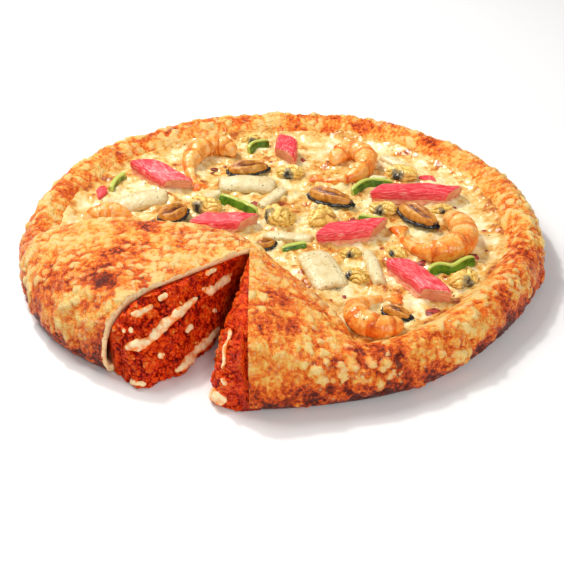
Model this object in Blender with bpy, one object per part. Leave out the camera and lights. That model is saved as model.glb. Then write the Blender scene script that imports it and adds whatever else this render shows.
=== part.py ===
"""A pan pizza whose front has a folded pocket of meat filling, with one slice of the pocket taken out.

Metres, +Z up. The origin is on the flat underside, below the pizza's centre. The missing slice faces -Y.
The pizza is a raised rim round a flat floor, joined to the pocket's dome. A bed of melted cheese lies on
the floor, and the seafood and vegetables lie on the bed.
"""

import math

import bmesh
import bpy
import numpy as np
from mathutils import Vector, noise
from mathutils.bvhtree import BVHTree

MM = 0.001

# Driving sizes of the pizza
PIZZA_RADIUS = 150 * MM
FLOOR_HEIGHT = 12 * MM
BED_TOP = 15.2 * MM
POCKET_HEIGHT = 42 * MM
POCKET_EQUATOR = 9 * MM
POCKET_SKIN = 3.8 * MM
POCKET_WALL = 5 * MM
BASE_SKIN = 4 * MM
HOLLOW_EQUATOR = 8 * MM
GAP = 0.4 * MM

# How finely the round shapes are divided
RIM_RAYS = 100
POCKET_RAYS = 54
FACE_STATIONS = 20

# The rim's section, from the floor over the crest and down the outside: (mm in from the edge, height in mm)
RIM_SECTION = [
    (32, 12.0), (27, 14.4), (22, 19.0), (17.5, 23.2), (13, 25.8), (9, 26.2), (5, 24.0),
    (2, 20.0), (0.3, 15.0), (0, 9.0), (1.5, 3.8), (4, 0.8), (7, 0.0),
]
BED_SECTION_POINTS = 2

# Where the rim is wider, and where the edge is drawn in at the two cuts: (amount, direction, spread in degrees)
WIDER_RIM = (0.14, -48, 34)
DRAWN_IN_MM = [(4.5, -131, 10), (3.0, -85, 15)]

# The pocket's plan: its back edge where it meets the cheese, from the left rim to the right rim, in mm
POCKET_BACK_EDGE = [
    (-131, -7), (-112, -9), (-92, -11), (-72, -13), (-52, -15), (-33, -20), (-17, -30), (-5, -42),
    (5, -55), (15, -68), (24, -80), (31, -92), (36, -105), (40, -119),
]
POCKET_CENTRE = np.array([-52.0, -68.0]) * MM
POCKET_RIM_FROM = -70.0
POCKET_RIM_TO = -171.0

# The pocket's rounded sides: how far in they rise to the top, in front and at the back, and their roundness
DOME_SIDE_FRONT = 36 * MM
DOME_SIDE_BACK = 28 * MM
DOME_POWER = 2.4

# The cut slice: the dough's apex, and the directions of its two cuts, in degrees
SLICE_APEX = np.array([-16.0, -60.0]) * MM
SLICE_LEFT_TURN = -144.0
SLICE_RIGHT_TURN = -90.0
SLICE_REACH = 170 * MM

# Where the filling's two faces meet the table inside the slice, from the apex outwards, in mm
FILLING_LEFT_FOOT = [
    (-21.5, -54), (-26, -62), (-31, -76), (-37, -92), (-45, -104), (-51, -115), (-59, -119), (-68, -126),
    (-78, -127), (-91, -131),
]
FILLING_RIGHT_FOOT = [
    (-18.5, -54), (-22, -66), (-25, -78), (-27, -88), (-32, -97), (-33, -110), (-34, -122), (-35, -133),
    (-32, -141), (-20, -152),
]
FACE_TOP = 44 * MM
FACE_LEFT_LENGTH = 89 * MM
FACE_RIGHT_LENGTH = 87 * MM
FACE_LEFT_SHIFT = np.array([-0.55, 0.75]) * MM
FACE_RIGHT_SHIFT = np.array([0.6, 0.0]) * MM

# The filling that spills out between the cuts: how far from the apex, and its lowest and highest level
SPILL_REACH = 84 * MM
SPILL_LOW = 0.6 * MM
SPILL_HIGH = 13 * MM

# Thick strands of melted cheese on the filling: side, width in mm, (share along the face, share down it)
STRANDS = [
    ("left", 5.0, [(0.92, 0.57), (0.85, 0.51), (0.74, 0.48), (0.63, 0.40), (0.52, 0.34), (0.38, 0.32)]),
    ("left", 4.8, [(0.61, 0.91), (0.51, 0.88), (0.42, 0.85), (0.33, 0.86), (0.25, 0.87)]),
    ("left", 4.4, [(0.36, 0.25), (0.29, 0.34), (0.20, 0.36), (0.11, 0.38)]),
    ("left", 4.2, [(0.84, 0.28), (0.78, 0.27), (0.69, 0.23)]),
    ("right", 4.4, [(0.76, 0.30), (0.84, 0.36), (0.90, 0.44)]),
    ("right", 5.0, [(0.70, 0.96), (0.79, 0.90), (0.87, 0.85)]),
]

# Shrimps: centreline from the blunt end to the tail, in mm, and the thickness at the blunt end
SHRIMPS = {
    "shrimp_1": (14.0, [(-29, 94), (-38, 100), (-49, 96), (-56, 79), (-53, 61), (-47, 49)]),
    "shrimp_2": (13.0, [(-112, 10), (-103, 14), (-94, 14), (-84, 11), (-76, 6)]),
    "shrimp_3": (13.5, [(34, 80), (43, 90), (54, 84), (53, 68), (42, 58), (30, 58), (20, 63)]),
    "shrimp_4": (15.0, [(97, 5), (104, -11), (101, -28), (88, -36), (77, -29), (70, -15), (68, 0)]),
    "shrimp_5": (13.0, [(60, -104), (51, -108), (41, -103), (38, -92), (43, -82), (53, -76), (64, -77)]),
}

# Mussels: x, y, turn in degrees, length, width and height in mm
MUSSELS = {
    "mussel_1": (-19, 72, 8, 27, 14, 10),
    "mussel_2": (-62, 15, 40, 20, 15, 11),
    "mussel_3": (31, 31, -30, 31, 13, 11),
    "mussel_4": (81, 6, -50, 31, 14, 12),
    "mussel_5": (-8, -18, 20, 12, 9, 7),
    "mussel_6": (60, -91, -32, 17, 9, 8),
}

# Shelled clams: x, y, turn in degrees and length in mm
CLAMS = {
    "clam_1": (-44, 25, -30, 20), "clam_2": (-18, 116, 30, 13), "clam_3": (7, 68, 0, 18),
    "clam_4": (-1, 11, -62, 22), "clam_5": (24, 10, -120, 20), "clam_6": (76, 62, -20, 20),
    "clam_7": (61, 18, -15, 17), "clam_8": (95, 17, 20, 14), "clam_9": (98, -61, 34, 18),
    "clam_10": (39, -30, 10, 13), "clam_11": (41, -53, -60, 15), "clam_12": (65, -30, -45, 13),
}

# Squid pieces: x, y, turn in degrees, length, width and arch of the piece in mm
SQUIDS = {
    "squid_1": (-85, 35, 26, 37, 17, 3.5), "squid_2": (-20, 54, -4, 35, 17, 3.5),
    "squid_3": (-4, 37, 56, 26, 8, 1.0), "squid_4": (5, -10, -12, 28, 8, 1.0),
    "squid_5": (23, -46, -74, 38, 20, 3.0), "squid_6": (51, -45, -82, 34, 8, 2.0),
    "squid_7": (73, 80, -51, 20, 8, 1.5), "squid_8": (-41, 40, 46, 12, 8, 1.0),
    "squid_9": (61, 58, -18, 10, 6, 1.0),
}

# Crab sticks: x, y, turn in degrees, length, width and height in mm
CRAB_STICKS = {
    "crab_stick_1": (-73, 64, -47, 45, 15, 10), "crab_stick_2": (-32, 5, -7, 38, 13, 9),
    "crab_stick_3": (5, 94, -97, 28, 15, 11), "crab_stick_4": (82, 34, -4, 54, 12, 10),
    "crab_stick_5": (41, -9, 6, 42, 14, 10), "crab_stick_6": (73.5, -63, -63, 45, 14, 10),
    "crab_stick_7": (-108, 46, 58, 14, 8, 5), "crab_stick_8": (92, 58, -54, 10, 7, 4),
}

# Pepper strips: centreline in mm, and the strip's height in mm
PEPPERS = {
    "pepper_1": (6.0, [(-96, 69), (-101, 60), (-103, 49)]),
    "pepper_2": (7.0, [(-19, 98), (-15, 105), (-6, 108)]),
    "pepper_3": (7.0, [(-36, 35), (-25, 27), (-13, 16)]),
    "pepper_4": (5.0, [(1, -25), (8, -22), (15, -20)]),
    "pepper_5": (7.0, [(44, 39), (54, 50), (70, 49)]),
    "pepper_6": (5.0, [(46, 10), (54, 7), (61, 5)]),
    "pepper_7": (7.5, [(80, -53), (86, -49), (93, -51), (100, -45), (107, -41)]),
}

# Thicknesses of the squid's plate, and of a pepper strip's wall from its middle, in mm
SQUID_THICKNESS = 3.8
PEPPER_HALF_WALL = 1.9

# Colour and roughness of each kind of piece
LOOKS = {
    "dough": ((0.72, 0.38, 0.13), 0.6),
    "cheese": ((0.86, 0.68, 0.33), 0.45),
    "meat": ((0.42, 0.05, 0.015), 0.4),
    "shrimp": ((0.85, 0.36, 0.13), 0.35),
    "mussel": ((0.62, 0.30, 0.08), 0.35),
    "clam": ((0.62, 0.47, 0.20), 0.4),
    "squid": ((0.85, 0.80, 0.60), 0.35),
    "crab": ((0.80, 0.10, 0.13), 0.4),
    "pepper": ((0.16, 0.33, 0.04), 0.3),
}


def remove_all_objects():
    """Empties the scene."""
    for old in list(bpy.data.objects):
        bpy.data.objects.remove(old)


def material(kind):
    """The material of one kind of piece, made once."""
    found = bpy.data.materials.get(kind)
    if found:
        return found
    made = bpy.data.materials.new(kind)
    made.use_nodes = True
    shader = made.node_tree.nodes["Principled BSDF"]
    colour, roughness = LOOKS[kind]
    shader.inputs["Base Color"].default_value = (*colour, 1)
    shader.inputs["Roughness"].default_value = roughness
    shader.inputs["Metallic"].default_value = 0
    return made


def object_from_mesh(name, mesh, kind):
    """A named object with its material, in the scene."""
    made = bpy.data.objects.new(name, mesh)
    mesh.materials.append(material(kind))
    bpy.context.scene.collection.objects.link(made)
    return made


def ring_solid(name, rings, kind, first_pole=None, last_pole=None, strips=False):
    """A closed solid through a row of closed rings with equal numbers of points.

    Each end is closed by a fan to its pole, which is the end ring's mean point unless it is given. With
    strips, each end is closed by a ladder of faces between the ring's first and second half instead.
    """
    rings = np.asarray(rings, float)
    count, around, _ = rings.shape
    points = rings.reshape(-1, 3).tolist()
    faces = []
    for k in range(count - 1):
        for j in range(around):
            a, b = k * around + j, k * around + (j + 1) % around
            faces.append((a, b, b + around))
            faces.append((a, b + around, a + around))
    end = (count - 1) * around
    if strips:
        for j in range(around // 2 - 1):
            rung = (j, j + 1, around - 2 - j, around - 1 - j)
            faces.append(rung[::-1])
            faces.append(tuple(end + n for n in rung))
    else:
        points.append(list(rings[0].mean(0) if first_pole is None else first_pole))
        points.append(list(rings[-1].mean(0) if last_pole is None else last_pole))
        for j in range(around):
            n = (j + 1) % around
            faces.append((count * around, n, j))
            faces.append((count * around + 1, end + j, end + n))
    mesh = bpy.data.meshes.new(name)
    mesh.from_pydata(points, [], faces)
    work = bmesh.new()
    work.from_mesh(mesh)
    bmesh.ops.recalc_face_normals(work, faces=work.faces)
    work.to_mesh(mesh)
    work.free()
    mesh.shade_smooth()
    mesh.set_sharp_from_angle(angle=math.radians(50))
    return object_from_mesh(name, mesh, kind)


def combine(target, cutters, operation, solver="EXACT"):
    """Cuts the cutters from the target, or joins them to it, and removes them."""
    group = bpy.data.collections.new("cutters")
    bpy.context.scene.collection.children.link(group)
    for cutter in cutters:
        bpy.context.scene.collection.objects.unlink(cutter)
        group.objects.link(cutter)
    change = target.modifiers.new("join", "BOOLEAN")
    change.operation = operation
    change.operand_type = "COLLECTION"
    change.collection = group
    change.solver = solver
    bpy.context.view_layer.update()
    graph = bpy.context.evaluated_depsgraph_get()
    mesh = bpy.data.meshes.new_from_object(target.evaluated_get(graph))
    target.modifiers.clear()
    target.data = mesh
    for cutter in cutters:
        bpy.data.objects.remove(cutter)
    bpy.data.collections.remove(group)
    return target


def smooth_path(points, count, closed=False):
    """A smooth curve of count points through the given points, by Catmull-Rom segments."""
    given = np.asarray(points, float)
    if closed:
        padded = np.vstack([given[-1:], given, given[:2]])
    else:
        padded = np.vstack([2 * given[0] - given[1], given, 2 * given[-1] - given[-2]])
    spans = len(padded) - 3
    t = np.linspace(0, spans, count, endpoint=not closed)
    k = np.minimum(t.astype(int), spans - 1)
    f = (t - k)[:, None]
    a, b, c, d = padded[k], padded[k + 1], padded[k + 2], padded[k + 3]
    return 0.5 * (2 * b + (c - a) * f + (2 * a - 5 * b + 4 * c - d) * f**2 + (3 * b - a - 3 * c + d) * f**3)


def smooth_step(x):
    """0 below 0, 1 above 1, and a smooth rise between."""
    x = np.clip(x, 0.0, 1.0)
    return x * x * (3 - 2 * x)


def relief(points, size, height, seed):
    """Smooth bumps at each point: noise of one bump size, times height."""
    shift = Vector((seed * 7.3, seed * 3.1, seed * 5.7))
    return np.array([noise.noise(Vector(p) / size + shift) for p in np.asarray(points)]) * height


def bump_at(angle, middle, spread):
    """A smooth bump of height 1 round the edge, at a middle direction and of a spread, both in degrees."""
    away = np.degrees(np.angle(np.exp(1j * (np.asarray(angle) - math.radians(middle)))))
    return np.exp(-((away / spread) ** 2))


def edge_radius(angle):
    """The pizza's outer radius in each direction, in radians. The edge draws in at the two cuts."""
    waves = 0.9 * np.sin(3 * angle + 0.6) + 0.7 * np.sin(5 * angle + 2.0) + 0.5 * np.sin(9 * angle + 4.0)
    drawn_in = sum(amount * bump_at(angle, *where) for amount, *where in DRAWN_IN_MM)
    return PIZZA_RADIUS + (waves - drawn_in) * MM


def in_pocket(angle):
    """1 where the rim lies under the pocket, 0 away from it, with a smooth change at both ends."""
    degrees = np.degrees(np.angle(np.exp(1j * np.asarray(angle))))
    away = np.minimum(POCKET_RIM_FROM - 4 - degrees, degrees - POCKET_RIM_TO - 4)
    return smooth_step(away / 8)


def base_rings():
    """Rings of the rim and floor from the centre outwards, over the crest and under to the foot."""
    angle = np.linspace(0, 2 * math.pi, RIM_RAYS, endpoint=False)
    under = in_pocket(angle)
    radius = edge_radius(angle) - 3 * MM * under
    direction = np.stack([np.cos(angle), np.sin(angle)], 1)
    wider = 1 + WIDER_RIM[0] * bump_at(angle, *WIDER_RIM[1:])
    rings = []
    for k, (inwards, height) in enumerate(RIM_SECTION):
        across = radius - inwards * MM * wider
        up = np.full(RIM_RAYS, height * MM)
        ring = np.column_stack([direction * across[:, None], up])
        if BED_SECTION_POINTS <= k < len(RIM_SECTION) - 2:
            crag = relief(ring, 24 * MM, 1.8 * MM, 1) + relief(ring, 9 * MM, 1.5 * MM, 2)
            ring[:, :2] += direction * (0.6 * crag)[:, None]
            ring[:, 2] += crag * 0.8
        above_floor = ring[:, 2] - FLOOR_HEIGHT
        ring[:, 2] -= np.maximum(above_floor, 0) * under
        rings.append(ring)
    return np.array(rings)


def pizza_base():
    """The rim and floor as one solid."""
    centre = (0, 0, FLOOR_HEIGHT)
    return ring_solid("dough", base_rings(), "dough", first_pole=centre, last_pole=(0, 0, 0))


def pocket_edge():
    """The angles of the pocket's rays about its centre, and the distance to its edge along each."""
    front = np.radians(np.linspace(POCKET_RIM_TO, POCKET_RIM_FROM, 15))
    ends = bump_at(front, POCKET_RIM_FROM, 7) + bump_at(front, POCKET_RIM_TO, 7)
    outside = edge_radius(front) + (0.8 - 2.2 * ends) * MM
    arc = np.column_stack([np.cos(front) * outside, np.sin(front) * outside])
    back = np.array(POCKET_BACK_EDGE[::-1]) * MM
    outline = smooth_path(np.vstack([arc, back]), 720, closed=True) - POCKET_CENTRE
    turn = np.arctan2(outline[:, 1], outline[:, 0])
    reach = np.hypot(outline[:, 0], outline[:, 1])
    angle = np.linspace(-math.pi, math.pi, POCKET_RAYS, endpoint=False)
    order = np.argsort(turn)
    return angle, np.interp(angle, turn[order], reach[order], period=2 * math.pi)


def dome_height(x, y):
    """The pocket's full height over a point: highest at the left, lower towards both ends."""
    right = smooth_step((x / MM + 22) / 58)
    left = smooth_step((-x / MM - 85) / 45)
    return POCKET_HEIGHT - (14 * right + 6 * left) * MM


def dome_rings(shrink, top_drop, equator, bottom, bumps):
    """Rings of a dome over the pocket's plan, from near its top down to its bottom.

    The height rises from the edge as a quarter of a superellipse, a little steeper at the back than in front.
    shrink draws the edge in, and top_drop lowers the top.
    """
    angle, reach = pocket_edge()
    reach = reach - shrink
    degrees = np.degrees(angle)
    is_back = smooth_step((degrees + 42) / 20) * smooth_step((152 - degrees) / 20)
    rise = DOME_SIDE_FRONT + (DOME_SIDE_BACK - DOME_SIDE_FRONT) * is_back
    direction = np.column_stack([np.cos(angle), np.sin(angle)])
    rings = []
    for share in (0.22, 0.42, 0.6, 0.74, 0.84, 0.91, 0.96, 0.99, 1.0):
        plan = POCKET_CENTRE + direction * (reach * share)[:, None]
        inside = np.minimum(reach * (1 - share) / rise, 1)
        curve = (1 - (1 - inside) ** DOME_POWER) ** (1 / DOME_POWER)
        top = dome_height(plan[:, 0], plan[:, 1]) - top_drop
        ring = np.column_stack([plan, equator + (top - equator) * curve])
        if bumps:
            ring[:, 2] += relief(ring, 30 * MM, 1.6 * MM, 5) * curve + relief(ring, 11 * MM, 1.1 * MM, 6) * curve
        rings.append(ring)
    for drawn_in, up in ((1.2 * MM, bottom + 0.35 * (equator - bottom)), (4 * MM, bottom)):
        plan = POCKET_CENTRE + direction * (reach - drawn_in)[:, None]
        rings.append(np.column_stack([plan, np.full(POCKET_RAYS, up)]))
    top = (*POCKET_CENTRE, dome_height(*POCKET_CENTRE) - top_drop)
    return np.array(rings), top, (*POCKET_CENTRE, bottom)


def pocket_dome(name, shrink=0.0, top_drop=0.0, equator=POCKET_EQUATOR, bottom=0.0, bumps=True, kind="dough"):
    """The pocket's dome as a solid, or a smaller one inside it."""
    rings, top, foot = dome_rings(shrink, top_drop, equator, bottom, bumps)
    return ring_solid(name, rings, kind, first_pole=top, last_pole=foot)


def turned(degrees):
    """The plan direction at an angle."""
    return np.array([math.cos(math.radians(degrees)), math.sin(math.radians(degrees))])


def slice_prism(name, drawn_in, reach, low, high, kind="dough"):
    """The cut slice's plan, drawn in from its two cuts, as an upright prism."""
    left, right = turned(SLICE_LEFT_TURN), turned(SLICE_RIGHT_TURN)
    middle = turned((SLICE_LEFT_TURN + SLICE_RIGHT_TURN) / 2)
    half = math.radians((SLICE_RIGHT_TURN - SLICE_LEFT_TURN) / 2)
    apex = SLICE_APEX + middle * drawn_in / math.sin(half)
    corners = [apex]
    for share in np.linspace(0, 1, 7):
        direction = left * (1 - share) + right * share
        corners.append(apex + direction / np.hypot(*direction) * reach)
    plan = np.array(corners)
    rings = [np.column_stack([plan, np.full(len(plan), z)]) for z in (low, high)]
    inner = plan.mean(0)
    return ring_solid(name, rings, kind, first_pole=(*inner, low), last_pole=(*inner, high))


def face_lines(side):
    """The top line and the foot of one face of the filling, as functions of the share along it."""
    foot = FILLING_LEFT_FOOT if side == "left" else FILLING_RIGHT_FOOT
    turn = SLICE_LEFT_TURN if side == "left" else SLICE_RIGHT_TURN
    length = FACE_LEFT_LENGTH if side == "left" else FACE_RIGHT_LENGTH
    shift = FACE_LEFT_SHIFT if side == "left" else FACE_RIGHT_SHIFT
    foot_path = smooth_path(np.array(foot) * MM, 200)
    stations = np.linspace(0, 1, 200)

    def top(along):
        return SLICE_APEX + shift + np.outer(along, turned(turn)) * length

    def low(along):
        return np.column_stack([np.interp(along, stations, foot_path[:, i]) for i in (0, 1)])

    return top, low


def face_points(side, along, down, raised=0.0):
    """Points on a face of the filling. It leaves the cut under the dough's edge and bulges down to the table."""
    along, down = np.atleast_1d(along).astype(float), np.atleast_1d(down).astype(float)
    top, low = face_lines(side)
    out = np.sin(down * math.pi / 2) ** 0.9
    start, end = top(along), low(along)
    plan = start + (end - start) * out[:, None]
    points = np.column_stack([plan, FACE_TOP * (1 - down)])
    across = end - start
    width = np.hypot(across[:, 0], across[:, 1])
    normal = np.column_stack([across / np.maximum(width, 1e-6)[:, None], np.full(len(along), 0.5)])
    crumb = relief(points, 8.5 * MM, 2.2 * MM, 11) + relief(points, 4.5 * MM, 1.2 * MM, 12)
    room = np.clip(along * 3 - 0.1, 0, 1) * np.clip(width / (10 * MM), 0, 1)
    return points + normal * ((crumb + 0.3 * MM) * room + raised)[:, None]


def open_slice():
    """The free space of the slice between the filling's two faces, as a cutter."""
    downs = np.linspace(0, 1, 8)
    alongs = np.linspace(0, 1, FACE_STATIONS)
    high, deep = 70 * MM, -6 * MM
    rings = []
    for along in alongs:
        left, right = (face_points(side, np.full(len(downs), along), downs) for side in ("left", "right"))
        top_left, top_right = [*left[0][:2], high], [*right[0][:2], high]
        low_left, low_right = [*left[-1][:2], deep], [*right[-1][:2], deep]
        rings.append([top_left, *left, low_left, low_right, *right[::-1], top_right])
    mouth = np.array(rings[-1])
    half = len(mouth) // 2
    for side, columns in (("left", slice(0, half)), ("right", slice(half, None))):
        turn = SLICE_LEFT_TURN + 8 if side == "left" else SLICE_RIGHT_TURN + 4
        mouth[columns, :2] += turned(turn) * 60 * MM
    rings.append(mouth)
    return ring_solid("open_slice", rings, "meat", strips=True)


def strand(number, side, thickness, keys):
    """A thick strand of melted cheese, a flat tube along the filling's face."""
    path = smooth_path(keys, 7)
    centre = face_points(side, path[:, 0], path[:, 1], raised=-0.5 * MM)
    taper = np.sin(np.linspace(0.22, math.pi - 0.22, len(path))) ** 0.4
    return tube(f"strand_{number}", centre, taper * thickness * MM / 2, 1.0, 6, "meat")


def tube(name, centre, radius, flatness, sides, kind, roll=0.0):
    """A tube of changing radius along a path of points, flattened towards its own upright direction."""
    centre = np.asarray(centre, float)
    ahead = np.gradient(centre, axis=0)
    ahead /= np.linalg.norm(ahead, axis=1)[:, None]
    across = np.cross(ahead, [0, 0, 1.0])
    across /= np.linalg.norm(across, axis=1)[:, None]
    up = np.cross(across, ahead)
    around = np.linspace(0, 2 * math.pi, sides, endpoint=False) + roll
    rings = [
        c + np.outer(np.cos(around) * r, a) + np.outer(np.sin(around) * r * flatness, u)
        for c, r, a, u in zip(centre, radius, across, up)
    ]
    return ring_solid(name, rings, kind)


def make_filling():
    """The meat filling that runs through the pocket and swells out of both cut faces."""
    filling = pocket_dome(
        "meat_filling",
        shrink=POCKET_WALL + 1.3 * GAP,
        top_drop=POCKET_SKIN + GAP,
        equator=HOLLOW_EQUATOR - GAP,
        bottom=BASE_SKIN + GAP,
        bumps=False,
        kind="meat",
    )
    foot = slice_prism("foot", 0.45 * MM, SPILL_REACH, SPILL_LOW, SPILL_HIGH, "meat")
    combine(filling, [foot], "UNION")
    combine(filling, [open_slice()], "DIFFERENCE")
    strands = [strand(n, *given) for n, given in enumerate(STRANDS)]
    combine(filling, strands, "UNION", "MANIFOLD")
    return filling


def make_dough():
    """Rim, floor and pocket in one piece, hollow where the filling is, with the slice cut out."""
    dough = pizza_base()
    combine(dough, [pocket_dome("pocket")], "UNION")
    hollow = pocket_dome(
        "hollow",
        shrink=POCKET_WALL,
        top_drop=POCKET_SKIN,
        equator=HOLLOW_EQUATOR,
        bottom=BASE_SKIN,
        bumps=False,
    )
    cut = slice_prism("cut", 0.0, SLICE_REACH, -10 * MM, 70 * MM)
    combine(dough, [cut, hollow], "DIFFERENCE")
    return dough


def make_bed():
    """The melted cheese over the floor, up to the foot of the rim and round the pocket."""
    foot = base_rings()[:BED_SECTION_POINTS]
    lower = foot + np.array([0, 0, GAP])
    plan = foot[:, :, :2]
    rings = []
    for share in (0.35, 0.68, 0.9):
        ring = np.column_stack([plan[0] * share, np.full(RIM_RAYS, BED_TOP)])
        ring[:, 2] += relief(ring, 16 * MM, 0.9 * MM, 21)
        rings.append(ring)
    rings.append(np.column_stack([plan[0], np.full(RIM_RAYS, BED_TOP + 0.3 * MM)]))
    rings.append(lower[1] + np.array([0, 0, 1.1 * MM]))
    rings.extend([lower[1], lower[0]])
    poles = {"first_pole": (0, 0, BED_TOP), "last_pole": (0, 0, FLOOR_HEIGHT + GAP)}
    bed = ring_solid("cheese_bed", rings, "cheese", **poles)
    clear = pocket_dome("clear", shrink=-0.9 * MM, top_drop=-0.6 * MM, equator=POCKET_EQUATOR + MM)
    return combine(bed, [clear], "DIFFERENCE")


def lie_down(rings, x, y, turn):
    """Turns rings about Z and moves them to their place on the bed, in mm."""
    c, s = math.cos(math.radians(turn)), math.sin(math.radians(turn))
    rotation = np.array([[c, s, 0], [-s, c, 0], [0, 0, 1]])
    return np.asarray(rings) @ rotation + np.array([x, y, 0]) * MM


def make_shrimp(name, thickness, centreline):
    """A peeled shrimp: a curled tube with a ridge at each segment, which ends in a flat tail fan."""
    path = smooth_path(np.array(centreline) * MM, 12)
    along = np.linspace(0, 1, len(path))
    width = thickness * MM / 2 * (0.62 + 0.42 * np.sin(np.clip(along * 1.5, 0, 1) * math.pi) ** 0.7)
    width *= 1 - 0.52 * smooth_step((along - 0.35) / 0.55)
    width *= 1 + 0.05 * np.cos(along * 6 * 2 * math.pi)
    width[-1] = thickness * MM * 0.36
    centre = np.column_stack([path, width * 0.9])
    shrimp = tube(name, centre, width, 0.9, 8, "shrimp", roll=math.pi / 2)
    fan = [v for v in shrimp.data.vertices if v.index // 8 == len(path) - 1]
    for v in fan:
        v.co.z = centre[-1][2] + (v.co.z - centre[-1][2]) * 0.35
    return shrimp


def make_mussel(name, x, y, turn, length, width, height):
    """A mussel's meat: a long egg shape, blunt at one end, with its frilled edge standing out as a lip."""
    rings = []
    around = np.linspace(0, 2 * math.pi, 8, endpoint=False)
    for t in np.linspace(0.08, 0.94, 6):
        size = math.sin(math.pi * t**0.8) ** 0.6
        lip = 1 + 0.12 * (np.abs(np.cos(around)) > 0.9)
        across = np.cos(around) * size * width / 2 * lip
        up = np.sin(around) * size * height / 2 + height / 2
        rings.append(np.column_stack([np.full(8, (t - 0.5) * length), across, up]) * MM)
    return ring_solid(name, lie_down(rings, x, y, turn), "mussel")


def make_clam(name, x, y, turn, length):
    """A shelled clam: a lumpy little body with a thin skirt along one side."""
    rings = []
    around = np.linspace(0, 2 * math.pi, 8, endpoint=False)
    height = 0.46 * length
    for t in np.linspace(0.1, 0.9, 4):
        size = math.sin(math.pi * t) ** 0.6
        skirt = 1 + 0.35 * np.clip(np.cos(around), 0, 1) ** 3
        across = np.cos(around) * size * 0.33 * length * skirt
        up = np.sin(around) * size * height / 2 * (1 - 0.45 * np.clip(np.cos(around), 0, 1)) + height / 2
        rings.append(np.column_stack([np.full(8, (t - 0.5) * length), across, up]) * MM)
    placed = lie_down(rings, x, y, turn)
    flat = placed.reshape(-1, 3)
    bumps = relief(flat, 5 * MM, 1.6 * MM, 31)
    outwards = flat - flat.mean(0)
    outwards /= np.linalg.norm(outwards, axis=1)[:, None]
    return ring_solid(name, (flat + outwards * bumps[:, None]).reshape(placed.shape), "clam")


def make_squid(name, x, y, turn, length, width, arch):
    """A piece of squid tube: a plate arched across its width, with soft edges."""
    section = []
    for t in np.linspace(-1, 1, 5):
        section.append((t * width / 2, arch * (1 - t * t) + SQUID_THICKNESS))
    for t in np.linspace(1, -1, 5):
        section.append((t * (width / 2 - 0.8), arch * (1 - t * t)))
    section = np.array(section)
    middle = section.mean(0)
    rings = []
    for t in np.linspace(-1, 1, 4):
        squeeze = 1 - 0.12 * abs(t) ** 3
        outline = middle + (section - middle) * [squeeze, squeeze]
        droop = 1.2 * t * t * arch / 3.5
        rings.append(np.column_stack([np.full(10, t * length / 2), outline[:, 0], outline[:, 1] - droop]) * MM)
    return ring_solid(name, lie_down(rings, x, y, turn), "squid")


def make_crab_stick(name, x, y, turn, length, width, height):
    """A crab stick cut on the slant: a soft bar with a rounded back and two sloping ends."""
    outline = [(-0.5, 0.06), (-0.5, 0.5), (-0.36, 0.85), (0, 1), (0.36, 0.85), (0.5, 0.5), (0.5, 0.06), (0, 0)]
    section = np.array(outline) * [width, height]
    slant = 0.75 * section[:, 0]
    rings = []
    for t in np.linspace(-1, 1, 5):
        taper = 1 - 0.10 * t * t
        along = t * (length / 2 - 0.37 * width) + slant
        rings.append(np.column_stack([along, section[:, 0] * taper, section[:, 1] * taper]) * MM)
    return ring_solid(name, lie_down(rings, x, y, turn), "crab")


def make_pepper(name, height, centreline):
    """A strip of green pepper: a band on edge that leans outwards."""
    path = smooth_path(np.array(centreline) * MM, 7)
    ahead = np.gradient(path, axis=0)
    ahead /= np.linalg.norm(ahead, axis=1)[:, None]
    across = np.column_stack([ahead[:, 1], -ahead[:, 0]])
    rings = []
    for point, side in zip(path, across):
        ring = []
        for offset, up in ((-1, 0.12), (-1.15, 0.8), (-0.3, 1.0), (0.9, 0.85), (1.25, 0.2), (0.3, 0.0)):
            plan = point + side * PEPPER_HALF_WALL * MM * offset
            ring.append((*plan, up * height * MM))
        rings.append(ring)
    return ring_solid(name, rings, "pepper")


def make_toppings():
    """Every topping, lying on the level of the bed."""
    made = [make_crab_stick(name, *sizes) for name, sizes in CRAB_STICKS.items()]
    made += [make_squid(name, *sizes) for name, sizes in SQUIDS.items()]
    made += [make_pepper(name, *sizes) for name, sizes in PEPPERS.items()]
    made += [make_shrimp(name, *sizes) for name, sizes in SHRIMPS.items()]
    made += [make_clam(name, *sizes) for name, sizes in CLAMS.items()]
    made += [make_mussel(name, *sizes) for name, sizes in MUSSELS.items()]
    return made


def surface_tree(piece):
    """A search tree of a piece's faces, for finding touches."""
    work = bmesh.new()
    work.from_mesh(piece.data)
    tree = BVHTree.FromBMesh(work)
    work.free()
    return tree


def settle(toppings, ground):
    """Sets the toppings down one by one: each rises from the bed until it is clear of all below it."""
    placed = [surface_tree(piece) for piece in ground]
    step = 0.4 * MM
    for piece in toppings:
        lift = BED_TOP - min(v.co.z for v in piece.data.vertices)
        for v in piece.data.vertices:
            v.co.z += lift
        while any(surface_tree(piece).overlap(tree) for tree in placed):
            for v in piece.data.vertices:
                v.co.z += step
        for v in piece.data.vertices:
            v.co.z += 0.3 * MM
        placed.append(surface_tree(piece))


def main():
    """Builds the pizza."""
    remove_all_objects()
    dough = make_dough()
    make_filling()
    bed = make_bed()
    settle(make_toppings(), [dough, bed])


main()
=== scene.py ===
"""The looks of a pan pizza with seafood on top and a folded pocket of meat filling, one slice cut out.

Every piece stands in the frame of the solid model, in metres, with +Z up and the missing slice towards -Y.
Shapes are worked out as arrays on grids of two parameters. Their relief is noise of a few sizes.
"""

from __future__ import annotations

import itertools
import logging
import math
from dataclasses import dataclass, field
from enum import Enum
from typing import Sequence

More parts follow.
